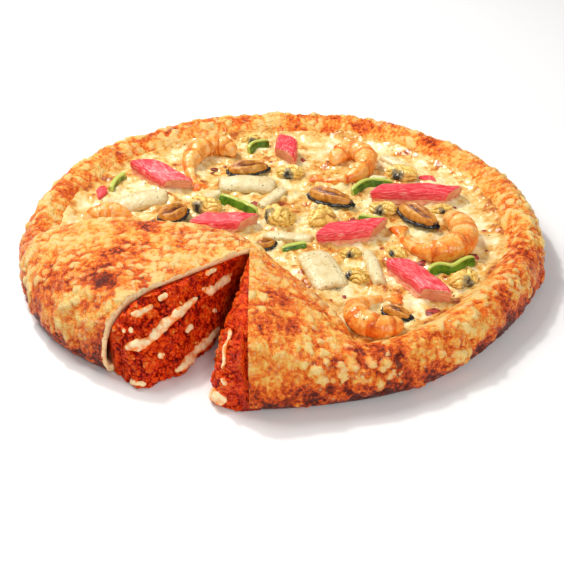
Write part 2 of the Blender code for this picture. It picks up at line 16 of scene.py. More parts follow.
import bpy
import numpy as np
from mathutils import Matrix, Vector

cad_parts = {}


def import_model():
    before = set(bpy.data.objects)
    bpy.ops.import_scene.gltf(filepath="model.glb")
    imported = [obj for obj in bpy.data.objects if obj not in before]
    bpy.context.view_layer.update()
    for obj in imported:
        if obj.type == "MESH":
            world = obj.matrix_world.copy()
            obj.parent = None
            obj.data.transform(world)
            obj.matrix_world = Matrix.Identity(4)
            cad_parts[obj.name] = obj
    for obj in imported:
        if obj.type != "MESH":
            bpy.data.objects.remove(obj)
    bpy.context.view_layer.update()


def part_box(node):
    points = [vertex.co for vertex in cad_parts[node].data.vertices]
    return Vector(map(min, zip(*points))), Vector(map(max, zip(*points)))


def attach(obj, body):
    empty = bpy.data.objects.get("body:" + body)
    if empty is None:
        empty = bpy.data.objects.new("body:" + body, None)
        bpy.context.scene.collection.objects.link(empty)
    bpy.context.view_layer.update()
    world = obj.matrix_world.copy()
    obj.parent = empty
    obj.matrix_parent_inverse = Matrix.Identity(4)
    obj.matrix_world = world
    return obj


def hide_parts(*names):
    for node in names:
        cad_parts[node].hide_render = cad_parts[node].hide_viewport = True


MM = 0.001
BODY = "root"
LOG = logging.getLogger("pan_pizza")
Array = np.ndarray
Keys = list[tuple[float, float]]


# Numbers on arrays


def smooth_step(x: Array) -> Array:
    """0 below 0, 1 above 1, and 3x^2 - 2x^3 between."""
    x = np.clip(x, 0.0, 1.0)
    return x * x * (3 - 2 * x)


def smooth_path(points: Sequence[Sequence[float]], count: int, closed: bool = False) -> Array:
    """A Catmull-Rom curve through given points.

    Args:
        points: the points that the curve passes through.
        count: how many points the result has, evenly spread over the spans.
        closed: whether the curve returns to its first point.

    Returns:
        An array of count points.
    """
    given = np.asarray(points, float)
    if closed:
        padded = np.vstack([given[-1:], given, given[:2]])
    else:
        padded = np.vstack([2 * given[0] - given[1], given, 2 * given[-1] - given[-2]])
    spans = len(padded) - 3
    t = np.linspace(0, spans, count, endpoint=not closed)
    k = np.minimum(t.astype(int), spans - 1)
    f = (t - k)[:, None]
    a, b, c, d = padded[k], padded[k + 1], padded[k + 2], padded[k + 3]
    return 0.5 * (2 * b + (c - a) * f + (2 * a - 5 * b + 4 * c - d) * f**2 + (3 * b - a - 3 * c + d) * f**3)


def bell(away: Array, spread: float) -> Array:
    """1 at 0, and exp(-(away / spread)^2) on both sides."""
    return np.exp(-((away / spread) ** 2))


def bump_at(angle: Array, middle: float, spread: float) -> Array:
    """A bell of the angle from a middle direction. The middle and the spread are in degrees."""
    return bell(np.degrees(np.angle(np.exp(1j * (np.asarray(angle) - math.radians(middle))))), spread)


def lump(away: Array, radius: float) -> Array:
    """A round lump from 1 in its middle to 0 at its radius: sqrt(1 - (away / radius)^2)."""
    return np.sqrt(np.clip(1 - (away / radius) ** 2, 0, 1))


def smooth_larger(a: Array, b: Array, blend: Array | float) -> Array:
    """The larger of two numbers with its corner rounded: (a + b + sqrt((a - b)^2 + blend^2)) / 2."""
    return (a + b + np.sqrt((a - b) ** 2 + blend**2)) / 2


def unit(vectors: Array) -> Array:
    """Vectors made one long."""
    return vectors / np.maximum(np.linalg.norm(vectors, axis=-1, keepdims=True), 1e-12)


def full_turn(count: int) -> Array:
    """Angles in radians, evenly spaced all the way round."""
    return np.linspace(0, 2 * math.pi, count, endpoint=False)


def polar(plan: Array) -> tuple[Array, Array]:
    """The directions of plan points from the origin, in radians, and their distances."""
    return np.arctan2(plan[..., 1], plan[..., 0]), np.hypot(plan[..., 0], plan[..., 1])


def reach_at(angle: Array, line: Array) -> Array:
    """How far a line round the origin lies in given directions.

    Args:
        angle: the directions, in radians.
        line: the line's plan points, in any order.

    Returns:
        A distance for each direction, between those of the nearest points on both sides.
    """
    turn, reach = polar(line)
    order = np.argsort(turn)
    return np.interp(angle, turn[order], reach[order], period=2 * math.pi)


def directions(angle: Array) -> Array:
    """Unit plan vectors at angles in radians."""
    return np.stack([np.cos(angle), np.sin(angle)], -1)


def turned(degrees: float) -> Array:
    """The unit plan vector at one angle in degrees."""
    return np.array([math.cos(math.radians(degrees)), math.sin(math.radians(degrees))])


def with_height(plan: Array, height: Array | float) -> Array:
    """Plan points with a height added as their third number."""
    height = np.broadcast_to(np.asarray(height, float), plan.shape[:-1])
    return np.concatenate([plan, height[..., None]], -1)


class Noise:
    """Noise on arrays of points, worked out from whole-number lattice cells, the same on each run."""

    SHIFT = 1000.5  # keeps the cells' numbers above 0

    @classmethod
    def _lattice(cls, points: Array, size: float) -> tuple[Array, Array]:
        """The points as rows measured in cells, and the whole numbers of their cells."""
        rows = points.reshape(-1, 3) / size + cls.SHIFT
        return rows, np.floor(rows).astype(np.int64)

    @staticmethod
    def _hash(x: Array, y: Array, z: Array, seed: int) -> Array:
        """A 32-bit number for each lattice cell.

        Args:
            x, y, z: the cells' whole numbers.
            seed: picks one of many patterns.

        Returns:
            The numbers, from 0 to 2^32 - 1.
        """
        n = (x * 73856093) ^ (y * 19349663) ^ (z * 83492791) ^ (seed * 2654435)
        n = (n ^ (n >> 13)) * 1274126177 & 0xFFFFFFFF
        return ((n ^ (n >> 16)) * 668265263) & 0xFFFFFFFF

    @staticmethod
    def _parts(n: Array) -> Array:
        """Three numbers from 0 to 1023 out of each 32-bit number."""
        return np.stack([n & 1023, n >> 10 & 1023, n >> 20 & 1023], 1)

    @classmethod
    def smooth(cls, points: Array, size: float, seed: int = 0) -> Array:
        """Gradient noise from about -1 to 1, with bumps of one size.

        In each cell the eight corners' random slopes are blended by 6f^5 - 15f^4 + 10f^3.

        Args:
            points: places in metres.
            size: the side of a cell, in metres.
            seed: picks one of many patterns.

        Returns:
            A number for each point.
        """
        p, cell = cls._lattice(points, size)
        f = p - cell
        w = f**3 * (f * (f * 6 - 15) + 10)
        total = np.zeros(len(p))
        for corner in range(8):
            step = np.array([corner & 1, corner >> 1 & 1, corner >> 2 & 1])
            slope = cls._parts(cls._hash(*(cell + step).T, seed)) / 511.5 - 1
            share = np.where(step, w, 1 - w).prod(1)
            total += share * ((f - step) * slope).sum(1)
        return (total * 1.5).reshape(points.shape[:-1])

    @classmethod
    def fractal(cls, points: Array, size: float, octaves: int = 3, seed: int = 0) -> Array:
        """The sum of smooth noises, each half the size and half the height of the one before."""
        return sum(cls.smooth(points, size / 2**k, seed + k) / 2**k for k in range(octaves))

    @classmethod
    def cells(cls, points: Array, size: float, seed: int = 0) -> tuple[Array, Array, Array]:
        """Distances to scattered seeds, one in each lattice cell.

        Args:
            points: places in metres.
            size: the side of a cell, in metres.
            seed: picks one of many patterns.

        Returns:
            The distance to the nearest seed and to the second, both in cells, and the nearest's random number.
        """
        p, cell = cls._lattice(points, size)
        near, second, pick = np.full(len(p), 9.0), np.full(len(p), 9.0), np.zeros(len(p))
        for step in itertools.product((-1, 0, 1), repeat=3):
            at = cell + np.array(step)
            n = cls._hash(*at.T, seed)
            away = np.sqrt(((p - (at + cls._parts(n) / 1023)) ** 2).sum(1))
            closer = away < near
            second = np.where(closer, near, np.minimum(second, away))
            pick = np.where(closer, (n >> 5 & 255) / 255, pick)
            near = np.where(closer, away, near)
        return tuple(found.reshape(points.shape[:-1]) for found in (near, second, pick))


# Meshes from arrays


def grid_quads(rows: int, columns: int, wrap: bool) -> Array:
    """Corner numbers of the quads of a grid.

    Args:
        rows: how many rows of points the grid has.
        columns: how many points a row has.
        wrap: whether each row runs round to its first point.

    Returns:
        Four corner numbers for each quad.
    """
    row = np.arange(rows - 1)[:, None] * columns
    first = np.arange(columns if wrap else columns - 1)
    second = (first + 1) % columns
    corners = [row + first, row + second, row + columns + second, row + columns + first]
    return np.stack(corners, -1).reshape(-1, 4)


def fan(ring: Array, pole: int) -> Array:
    """Corner numbers of the triangles from a closed ring of points to a pole."""
    return np.stack([ring, np.roll(ring, -1), np.full(len(ring), pole)], 1)


def mesh_piece(
    name: str, points: Array, quads: Array, triangles: Array | None = None, marks: dict[str, Array] | None = None
) -> bpy.types.Object:
    """A smooth-shaded piece at the origin from arrays of points and faces, in the scene.

    Args:
        name: the piece's name.
        points: its points, in metres.
        quads: four corner numbers for each quad.
        triangles: three corner numbers for each triangle.
        marks: one number a point for each named attribute.

    Returns:
        The new object.
    """
    triangles = np.zeros((0, 3), int) if triangles is None else triangles
    mesh = bpy.data.meshes.new(name)
    mesh.vertices.add(len(points))
    mesh.vertices.foreach_set("co", np.asarray(points, np.float32).ravel())
    corners = np.concatenate([quads.ravel(), triangles.ravel()]).astype(np.int32)
    sizes = np.concatenate([np.full(len(quads), 4), np.full(len(triangles), 3)])
    mesh.loops.add(len(corners))
    mesh.loops.foreach_set("vertex_index", corners)
    mesh.polygons.add(len(sizes))
    mesh.polygons.foreach_set("loop_start", np.concatenate([[0], np.cumsum(sizes)[:-1]]).astype(np.int32))
    mesh.polygons.foreach_set("use_smooth", np.ones(len(sizes), bool))
    mesh.update(calc_edges=True)
    for mark, values in (marks or {}).items():
        layer = mesh.attributes.new(mark, "FLOAT", "POINT")
        layer.data.foreach_set("value", np.asarray(values, np.float32).ravel())
    piece = bpy.data.objects.new(name, mesh)
    bpy.context.scene.collection.objects.link(piece)
    return piece


def tube_piece(
    name: str, grid: Array, marks: dict[str, Array] | None = None, poles: Array | None = None
) -> bpy.types.Object:
    """A piece through a row of closed rings, its ends drawn in to poles, with its faces pointing out.

    The faces are turned round if the volume comes out negative.

    Args:
        name: the piece's name.
        grid: the rings, one row of points each, in metres.
        marks: one number a point of the grid for each named attribute. A pole takes its ring's mean.
        poles: the two poles, or none for the mean points of the end rings. A hooked section needs a point that
            sees all of its outline.

    Returns:
        The new object.
    """
    rows, columns, _ = grid.shape
    count = rows * columns
    ends = grid[[0, -1]].mean(1) if poles is None else poles
    points = np.concatenate([grid.reshape(-1, 3), ends])
    quads = grid_quads(rows, columns, True)
    ring = np.arange(columns)
    triangles = np.concatenate([fan(ring, count)[:, [1, 0, 2]], fan(ring + count - columns, count + 1)])
    split = np.concatenate([quads[:, [0, 1, 2]], quads[:, [0, 2, 3]], triangles])
    a, b, c = (points[split[:, k]] for k in range(3))
    if (a * np.cross(b, c)).sum() < 0:
        quads, triangles = quads[:, ::-1], triangles[:, ::-1]
    given = {mark: np.asarray(v, float).reshape(rows, columns) for mark, v in (marks or {}).items()}
    joined = {mark: np.concatenate([v.ravel(), v[[0, -1]].mean(1)]) for mark, v in given.items()}
    return mesh_piece(name, points, quads, triangles, joined)


def sweep(centre: Array, radius: Array, section: Array, up: Array | None = None) -> Array:
    """Rings of a section carried along a path.

    point = centre + radius * (section x * across + section y * up), where across is level and square to the path.

    Args:
        centre: the path's points.
        radius: the scale at each of them.
        section: plan points of the section, or one such row for each point of the path.
        up: the section's upward direction at each point, or none for straight up.

    Returns:
        A grid of points, one ring for each point of the path.
    """
    ahead = unit(np.gradient(centre, axis=0))
    across = unit(np.cross(ahead, [0, 0, 1.0] if up is None else up))
    rise = np.cross(across, ahead)
    section = np.broadcast_to(section, (len(centre), *section.shape[-2:]))
    scale = np.asarray(radius, float)[:, None, None]
    sideways = section[..., :1] * across[:, None]
    upwards = section[..., 1:] * rise[:, None]
    return centre[:, None] + scale * (sideways + upwards)


def place(piece: bpy.types.Object, finish: Finish, node: str | None) -> None:
    """Gives a piece its material, unless it has some, its body and its material slot, and reports it.

    Args:
        piece: the piece.
        finish: its finish.
        node: the solid that it stands for, or none.
    """
    if not piece.data.materials:
        piece.data.materials.append(finish.material())
    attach(piece, BODY)
    if node:
        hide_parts(node)
    LOG.info("%s: %d faces", piece.name, len(piece.data.polygons))


# Shader maths


class Wire:
    """A shader socket that reads as a number, so that maths on it adds Math nodes."""

    def __init__(self, paint: Paint, socket: bpy.types.NodeSocket) -> None:
        """Wraps one output socket of a material."""
        self.paint = paint
        self.socket = socket

    def _math(self, operation: str, first: Wire | float, second: Wire | float) -> Wire:
        """Adds one Math node and returns its value."""
        return self.paint.node("ShaderNodeMath", {"operation": operation}, {0: first, 1: second})

    def __add__(self, other: Wire | float) -> Wire:
        """self + other."""
        return self._math("ADD", self, other)

    __radd__ = __add__

    def __sub__(self, other: Wire | float) -> Wire:
        """self - other."""
        return self._math("SUBTRACT", self, other)

    def __rsub__(self, other: float) -> Wire:
        """other - self."""
        return self._math("SUBTRACT", other, self)

    def __mul__(self, other: Wire | float) -> Wire:
        """self * other."""
        return self._math("MULTIPLY", self, other)

    __rmul__ = __mul__

    def above(self, low: float, high: float) -> Wire:
        """0 below low, 1 above high, with a smooth rise between. low may be the larger."""
        settings = {"interpolation_type": "SMOOTHSTEP"}
        return self.paint.node("ShaderNodeMapRange", settings, {"Value": self, "From Min": low, "From Max": high})


Colour = tuple[float, float, float]


def shade(red: int, green: int, blue: int) -> Colour:
    """A linear colour from the 0 to 255 values that a screen shows."""
    parts = [c / 255 for c in (red, green, blue)]
    return tuple(c / 12.92 if c <= 0.04045 else ((c + 0.055) / 1.055) ** 2.4 for c in parts)


class Paint:
    """Builds one material's nodes."""

    def __init__(self, name: str) -> None:
        """Makes a material with only its shader and output."""
        self.result = bpy.data.materials.new(name)
        self.result.use_nodes = True
        self.tree = self.result.node_tree
        self.shader = self.tree.nodes["Principled BSDF"]

    def node(self, kind: str, settings: dict | None = None, values: dict | None = None, out: int | str = 0) -> Wire:
        """Adds a node.

        Args:
            kind: the node's type.
            settings: its properties, and a ramp's stops as (place, colour), set first.
            values: numbers, colours or wires for the sockets, by name or number.
            out: which output is returned.

        Returns:
            The output, as a Wire.
        """
        made = self.tree.nodes.new(kind)
        for key, value in (settings or {}).items():
            if key == "stops":
                self._set_stops(made.color_ramp.elements, value)
            else:
                setattr(made, key, value)
        for key, value in (values or {}).items():
            self._feed(made.inputs[key], value)
        return Wire(self, made.outputs[out])

    def _set_stops(self, elements: bpy.types.ColorRampElements, stops: Sequence[tuple[float, Colour]]) -> None:
        """Makes a new ramp's elements the given (place, colour) stops.

        Args:
            elements: the two elements of a new ramp.
            stops: two or more stops, in order.
        """
        for _ in stops[2:]:
            elements.new(1.0)
        for element, (at, colour) in zip(elements, stops):
            element.position = at
            element.color = (*colour, 1)

    def _feed(self, socket: bpy.types.NodeSocket, value: object) -> None:
        """Links a wire to a socket, or sets the socket's own value.

        Args:
            socket: the input socket.
            value: a wire, a number, a vector or a colour of three numbers.
        """
        if isinstance(value, Wire):
            self.tree.links.new(value.socket, socket)
        elif isinstance(value, tuple) and socket.type == "RGBA" and len(value) == 3:
            socket.default_value = (*value, 1)
        else:
            socket.default_value = value

    def place(self) -> Wire:
        """Object coordinates, in metres."""
        return self.node("ShaderNodeTexCoord", out="Object")

    def mark(self, name: str) -> Wire:
        """The piece's own attribute of a name."""
        return self.node("ShaderNodeAttribute", {"attribute_name": name}, out="Fac")

    def grain(self, size: float, detail: float = 3, rough: float = 0.55, at: Wire | None = None) -> Wire:
        """Noise from 0 to 1 with bumps of a size in metres."""
        sockets = {"Vector": at or self.place(), "Scale": 1 / size, "Detail": detail, "Roughness": rough}
        return self.node("ShaderNodeTexNoise", None, sockets)

    def swing(self, size: float, detail: float = 3, rough: float = 0.55) -> Wire:
        """Noise on both sides of 0, mostly within 1."""
        return (self.grain(size, detail, rough) - 0.5) * 4.0

    def cells(self, size: float, at: Wire | None = None, out: str = "Distance") -> Wire:
        """Distance to scattered seeds about a size apart, in cells, or another output."""
        return self.node("ShaderNodeTexVoronoi", None, {"Vector": at or self.place(), "Scale": 1 / size}, out)

    def specks(self, size: float, share: float, radius: float = 0.22) -> Wire:
        """1 on small ragged spots and 0 elsewhere.

        Args:
            size: the cells' size in metres.
            share: how many of the cells have a spot, from 0 to 1.
            radius: a spot's radius in cells.

        Returns:
            The spots.
        """
        at = self.place()
        pick = self.node("ShaderNodeSeparateColor", None, {"Color": self.cells(size, at=at, out="Color")})
        wobble = self.grain(size * 0.3, 1) * 0.16 - 0.08
        near = (self.cells(size, at=at) + wobble).above(radius, radius * 0.6)
        return near * pick.above(1 - share, 1 - share + 0.02)

    def mix(self, share: Wire | float, first: Wire | Colour, second: Wire | Colour) -> Wire:
        """first where share is 0, second where it is 1."""
        return self.node("ShaderNodeMix", {"data_type": "RGBA"}, {0: share, 6: first, 7: second}, 2)

    def ramp(self, share: Wire, stops: Sequence[tuple[float, Colour]]) -> Wire:
        """A colour ramp through (place, colour) stops."""
        return self.node("ShaderNodeValToRGB", {"stops": stops}, {0: share})

    def fibres(self, across: float, along: float) -> Wire:
        """Noise drawn out along a piece: lines that follow its length, on its own marks."""
        both = {"X": self.mark("across") * across, "Y": self.mark("along") * along}
        return self.grain(1.0, 3, 0.6, self.node("ShaderNodeCombineXYZ", None, both))

    def relief(self, height: Wire, depth: float) -> Wire:
        """A Bump normal of a height from 0 to 1 over a depth in metres."""
        return self.node("ShaderNodeBump", None, {"Height": height, "Distance": depth, "Strength": 1.0})

    def finish(self, **sockets: object) -> bpy.types.Material:
        """Sets the shader's sockets.

        Args:
            sockets: a value or wire for each socket, whose name has _ for each space.

        Returns:
            The material.
        """
        for key, value in sockets.items():
            self._feed(self.shader.inputs[key.replace("_", " ")], value)
        return self.result


HERBS = shade(84, 70, 26)


@dataclass(frozen=True)
class Finish:
    """A material of the pizza, made once for all the pieces that share it."""

    name: str

    def material(self) -> bpy.types.Material:
        """The material, painted on first use."""
        return bpy.data.materials.get(self.name) or self.paint(Paint(self.name))

    def paint(self, p: Paint) -> bpy.types.Material:
        """Builds the nodes. Each finish has its own.

        Args:
            p: the new material.

        Returns:
            The finished material.
        """
        raise NotImplementedError


@dataclass(frozen=True)
class BakedCrust(Finish):
    """Golden baked dough: cream crisp cheese over orange, with red-brown toasted patches and dark spots, darker low
    sides (partly baked colour, partly painted shade) and painted highlights on its flakes.
    """

    name: str = "baked_crust"
    stops: tuple[tuple[float, Colour], ...] = (
        (0.00, shade(255, 208, 112)),
        (0.20, shade(255, 174, 68)),
        (0.42, shade(250, 122, 24)),
        (0.62, shade(222, 78, 8)),
        (0.84, shade(152, 46, 6)),
        (1.00, shade(96, 28, 6)),
    )
    # crisp is the colour of the painted highlights on the flakes' tops.
    crisp: Colour = shade(255, 222, 148)

    def paint(self, p: Paint) -> bpy.types.Material:
        """One ramp from cream to dark brown, with painted highlights mixed over it. Wide, middle and fine noise and
        the crust's marks drive it; the mark for toast and shade also darkens the low sides, partly as painted shade.

        Args:
            p: the new material.

        Returns:
            The finished material.
        """
        rise, toast_and_shade, inner = p.mark("rise"), p.mark("toast_and_shade"), p.mark("inner")
        wide, middle, fine = p.swing(0.026, 4, 0.6), p.swing(0.0085, 4, 0.62), p.swing(0.0021, 3, 0.65)
        cheese = (inner + (middle + wide) * 0.4).above(0.30, 0.80)
        # The toast mark carries real toasted patches and, low on the sides, painted shade.
        share = toast_and_shade * 0.50 + wide * 0.28 + middle * 0.30 + fine * 0.40 - rise * 0.74 + 0.49
        spot = p.grain(0.013, 4, 0.65).above(0.60, 0.72) * toast_and_shade
        colour = p.ramp(share + spot * 0.20 - cheese * 0.10, self.stops)
        # Painted highlight: pale spots where the flakes stand high and are little toasted, where glints would catch
        # the light.
        painted_highlight = (fine * 0.7 + rise * 1.4 - toast_and_shade * 0.8).above(0.38, 0.95)
        colour = p.mix(painted_highlight * 0.8, colour, self.crisp)
        height = fine * 0.16 + p.grain(0.0009, 2, 0.6) * 0.35
        return p.finish(
            Base_Color=colour, Roughness=0.25 - fine * 0.05, Specular_IOR_Level=0.32, Normal=p.relief(height, 0.0030)
        )


@dataclass(frozen=True)
class CutDough(Finish):
    """The soft pale inside of the dough, with small air holes."""

    name: str = "cut_dough"
    crumb: Colour = shade(255, 226, 172)
    shadow: Colour = shade(248, 178, 104)

    def paint(self, p: Paint) -> bpy.types.Material:
        """Cream with slightly darker holes.

        Args:
            p: the new material.

        Returns:
            The finished material.
        """
        holes = p.cells(0.0022).above(0.32, 0.1)
        blotch = p.grain(0.006, 3).above(0.4, 0.7)
        colour = p.mix(holes * 0.6 + blotch * 0.5, self.crumb, self.shadow)
        return p.finish(Base_Color=colour, Roughness=0.5, Specular_IOR_Level=0.2, Normal=p.relief(1 - holes, 0.0004))


@dataclass(frozen=True)
class MeltedCheese(Finish):
    """Melted cheese baked with brown blisters and small orange pools of oil."""

    name: str = "melted_cheese"
    stops: tuple[tuple[float, Colour], ...] = (
        (0.10, shade(250, 234, 188)),
        (0.36, shade(236, 206, 134)),
        (0.58, shade(222, 164, 76)),
        (0.78, shade(190, 102, 38)),
        (1.00, shade(128, 50, 20)),
    )

    def paint(self, p: Paint) -> bpy.types.Material:
        """One ramp from cream to brown, browner up the rim. Brown blisters stand where the relief is high.

        Args:
            p: the new material.

        Returns:
            The finished material.
        """
        rise = p.mark("rise")
        blister = (rise + p.swing(0.004) * 0.22).above(0.66, 0.95)
        share = p.swing(0.020) * 0.34 + p.swing(0.0075, 3, 0.6) * 0.36 + p.swing(0.0024) * 0.14 + blister * 0.30 + 0.39
        share = share + p.mark("slope") * 0.17
        colour = p.mix(p.specks(0.0046, 0.34, 0.14), p.ramp(share, self.stops), HERBS)
        height = p.grain(0.0022, 2, 0.5) * 0.22 + p.grain(0.0055, 2, 0.4) * 1.1
        return p.finish(
            Base_Color=colour, Roughness=0.15 + blister * 0.2, Specular_IOR_Level=0.5, Normal=p.relief(height, 0.0016)
        )


@dataclass(frozen=True)
class MeatSauce(Finish):
    """Minced meat in red sauce, wet with oil."""

    name: str = "meat_sauce"
    stops: tuple[tuple[float, Colour], ...] = (
        (0.02, shade(70, 6, 2)),
        (0.24, shade(190, 26, 2)),
        (0.46, shade(255, 70, 6)),
        (0.74, shade(255, 110, 20)),
        (1.00, shade(255, 190, 100)),
    )

    def paint(self, p: Paint) -> bpy.types.Material:
        """One ramp from the dark pits to the orange tops of the crumbs: the dark in the pits is painted shade and the
        pale orange on the tops painted light.

        Args:
            p: the new material.

        Returns:
            The finished material.
        """
        # The rise mark paints shade into the pits between the crumbs and light onto their tops; the noise adds the
        # meat's own uneven tone.
        share = p.mark("rise") * 1.10 + p.swing(0.0060) * 0.16 + p.swing(0.0013, 3, 0.65) * 0.20 - 0.06
        height = p.grain(0.0012, 3, 0.65) * 0.6 + p.grain(0.0028, 2) * 0.9
        colour = p.ramp(share, self.stops)
        return p.finish(Base_Color=colour, Roughness=0.10, Specular_IOR_Level=0.24, Normal=p.relief(height, 0.0024))


@dataclass(frozen=True)
class CheeseStrand(Finish):
    """Soft white cheese, tinged with the sauce's orange oil."""

    name: str = "cheese_strand"
    white: Colour = shade(255, 232, 180)
    tinged: Colour = shade(252, 138, 40)

    def paint(self, p: Paint) -> bpy.types.Material:
        """White in the middle, orange towards the edges and in patches.

        Args:
            p: the new material.

        Returns:
            The finished material.
        """
        stain = (p.mark("edge") * 0.70 + p.swing(0.0034) * 0.75 + 0.24).above(0.1, 1.1)
        colour = p.mix(stain, self.white, self.tinged)
        height = p.grain(0.0024, 3)
        return p.finish(Base_Color=colour, Roughness=0.2, Specular_IOR_Level=0.5, Normal=p.relief(height, 0.0008))


@dataclass(frozen=True)
class Ham(Finish):
    """Small dark pink bits of ham, browned at the edges."""

    name: str = "ham"
    pink: Colour = shade(176, 62, 54)
    brown: Colour = shade(112, 34, 24)

    def paint(self, p: Paint) -> bpy.types.Material:
        """Pink with brown patches.

        Args:
            p: the new material.

        Returns:
            The finished material.
        """
        colour = p.mix(p.grain(0.003, 3).above(0.42, 0.62), self.pink, self.brown)
        return p.finish(Base_Color=colour, Roughness=0.4, Normal=p.relief(p.grain(0.001, 2), 0.0004))


@dataclass(frozen=True)
class ShrimpFlesh(Finish):
    """Cooked shrimp: peach flesh that turns orange towards each segment's end and along the back."""

    name: str = "shrimp_flesh"
    stops: tuple[tuple[float, Colour], ...] = (
        (0.02, shade(255, 210, 138)),
        (0.34, shade(250, 166, 68)),
        (0.64, shade(238, 114, 28)),
        (0.95, shade(208, 72, 18)),
    )

    def paint(self, p: Paint) -> bpy.types.Material:
        """A ramp from pale to orange along each segment, with a thin dark line where the next begins.

        Args:
            p: the new material.

        Returns:
            The finished material.
        """
        share = p.mark("part") * 0.34 + p.mark("back") * 0.26 + p.mark("band") * 0.42 + 0.06
        share = share + p.mark("along").above(0.78, 0.97) * 0.42
        share = share + p.swing(0.0050) * 0.24 + p.swing(0.0016) * 0.18
        colour = p.mix(p.specks(0.0042, 0.22, 0.14), p.ramp(share, self.stops), HERBS)
        height = p.grain(0.0014, 2) * 0.7 + p.grain(0.004, 2)
        return p.finish(Base_Color=colour, Roughness=0.17, Specular_IOR_Level=0.55, Normal=p.relief(height, 0.0006))


@dataclass(frozen=True)
class MusselMeat(Finish):
    """Mussel meat: orange-tan, darker in its groove, with a black frilled edge."""

    name: str = "mussel_meat"
    stops: tuple[tuple[float, Colour], ...] = (
        (0.05, shade(236, 178, 88)),
        (0.38, shade(202, 128, 36)),
        (0.68, shade(150, 78, 16)),
        (0.95, shade(84, 38, 12)),
    )
    black: Colour = shade(26, 26, 30)

    def paint(self, p: Paint) -> bpy.types.Material:
        """A ramp from tan to brown, then black along the edge.

        Args:
            p: the new material.

        Returns:
            The finished material.
        """
        share = 0.30 + p.mark("groove") * 0.70 + p.swing(0.0036) * 0.30 + (p.fibres(16.0, 1.2) - 0.5) * 0.9
        edge = (p.mark("edge") + (p.grain(0.0028, 2) - 0.5) * 0.5).above(0.42, 0.58)
        colour = p.mix(edge, p.ramp(share, self.stops), self.black)
        height = p.grain(0.0013, 3)
        return p.finish(Base_Color=colour, Roughness=0.15, Specular_IOR_Level=0.55, Normal=p.relief(height, 0.0006))


@dataclass(frozen=True)
class ClamMeat(Finish):
    """Clam meat: yellow with brown folds, and a grey and black belly."""

    name: str = "clam_meat"
    stops: tuple[tuple[float, Colour], ...] = (
        (0.05, shade(250, 218, 122)),
        (0.36, shade(224, 170, 64)),
        (0.64, shade(162, 98, 26)),
        (0.95, shade(70, 40, 12)),
    )
    grey: Colour = shade(128, 118, 92)
    dark: Colour = shade(40, 38, 34)

    def paint(self, p: Paint) -> bpy.types.Material:
        """A ramp from yellow to brown over the folds, with grey round a black patch.

        Args:
            p: the new material.

        Returns:
            The finished material.
        """
        share = 0.14 + p.mark("fold") * 0.62 + p.swing(0.0026, 4, 0.65) * 0.32
        belly = p.mark("belly") + p.swing(0.0030) * 0.22
        colour = p.mix(belly.above(0.36, 0.68) * 0.8, p.ramp(share, self.stops), self.grey)
        colour = p.mix(belly.above(0.78, 0.94), colour, self.dark)
        colour = p.mix(p.specks(0.0042, 0.16, 0.14), colour, HERBS)
        height = p.grain(0.0013, 3) * 0.7 + p.grain(0.003, 2) * 0.6
        return p.finish(Base_Color=colour, Roughness=0.17, Specular_IOR_Level=0.55, Normal=p.relief(height, 0.0008))


@dataclass(frozen=True)
class SquidFlesh(Finish):
    """Squid: off-white flesh, warmer at its edges, with herb specks."""

    name: str = "squid_flesh"
    stops: tuple[tuple[float, Colour], ...] = (
        (0.15, shade(234, 220, 174)),
        (0.50, shade(218, 194, 138)),
        (0.80, shade(200, 156, 86)),
        (1.00, shade(170, 112, 48)),
    )

    def paint(self, p: Paint) -> bpy.types.Material:
        """A ramp from off-white to toasted, with dark specks.

        Args:
            p: the new material.

        Returns:
            The finished material.
        """
        share = 0.28 + p.mark("edge") * 0.32 + p.swing(0.007) * 0.26 + p.swing(0.0018) * 0.18
        colour = p.mix(p.specks(0.0028, 0.55, 0.24) * 0.7, p.ramp(share, self.stops), HERBS)
        height = p.grain(0.0015, 3) * 0.8 + p.grain(0.005, 2) * 0.6
        return p.finish(Base_Color=colour, Roughness=0.22, Specular_IOR_Level=0.45, Normal=p.relief(height, 0.0006))


@dataclass(frozen=True)
class CrabMeat(Finish):
    """Crab stick: red-pink outside with fine pale threads, peach at the cuts."""

    name: str = "crab_meat"
    stops: tuple[tuple[float, Colour], ...] = (
        (0.15, shade(224, 30, 46)),
        (0.45, shade(250, 68, 80)),
        (0.68, shade(255, 138, 132)),
        (0.95, shade(255, 210, 196)),
    )
    cut_stops: tuple[tuple[float, Colour], ...] = (
        (0.20, shade(232, 120, 90)),
        (0.50, shade(250, 172, 132)),
        (0.80, shade(255, 216, 182)),
    )

    def paint(self, p: Paint) -> bpy.types.Material:
        """Threads run along the stick. The cut ends and the lower sides are peach.

        Args:
            p: the new material.

        Returns:
            The finished material.
        """
        thread = (p.fibres(26.0, 4.0) - 0.5) * 1.7 + 0.42
        patch = p.swing(0.005)
        colour = p.ramp(thread + patch * 0.14, self.stops)
        cut = (p.mark("cut") + (p.grain(0.003, 3) - 0.5) * 0.6).above(0.42, 0.62)
        colour = p.mix(cut, colour, p.ramp(thread + patch * 0.15, self.cut_stops))
        colour = p.mix(p.specks(0.0045, 0.16, 0.14), colour, HERBS)
        return p.finish(Base_Color=colour, Roughness=0.20, Specular_IOR_Level=0.5, Normal=p.relief(thread, 0.0004))


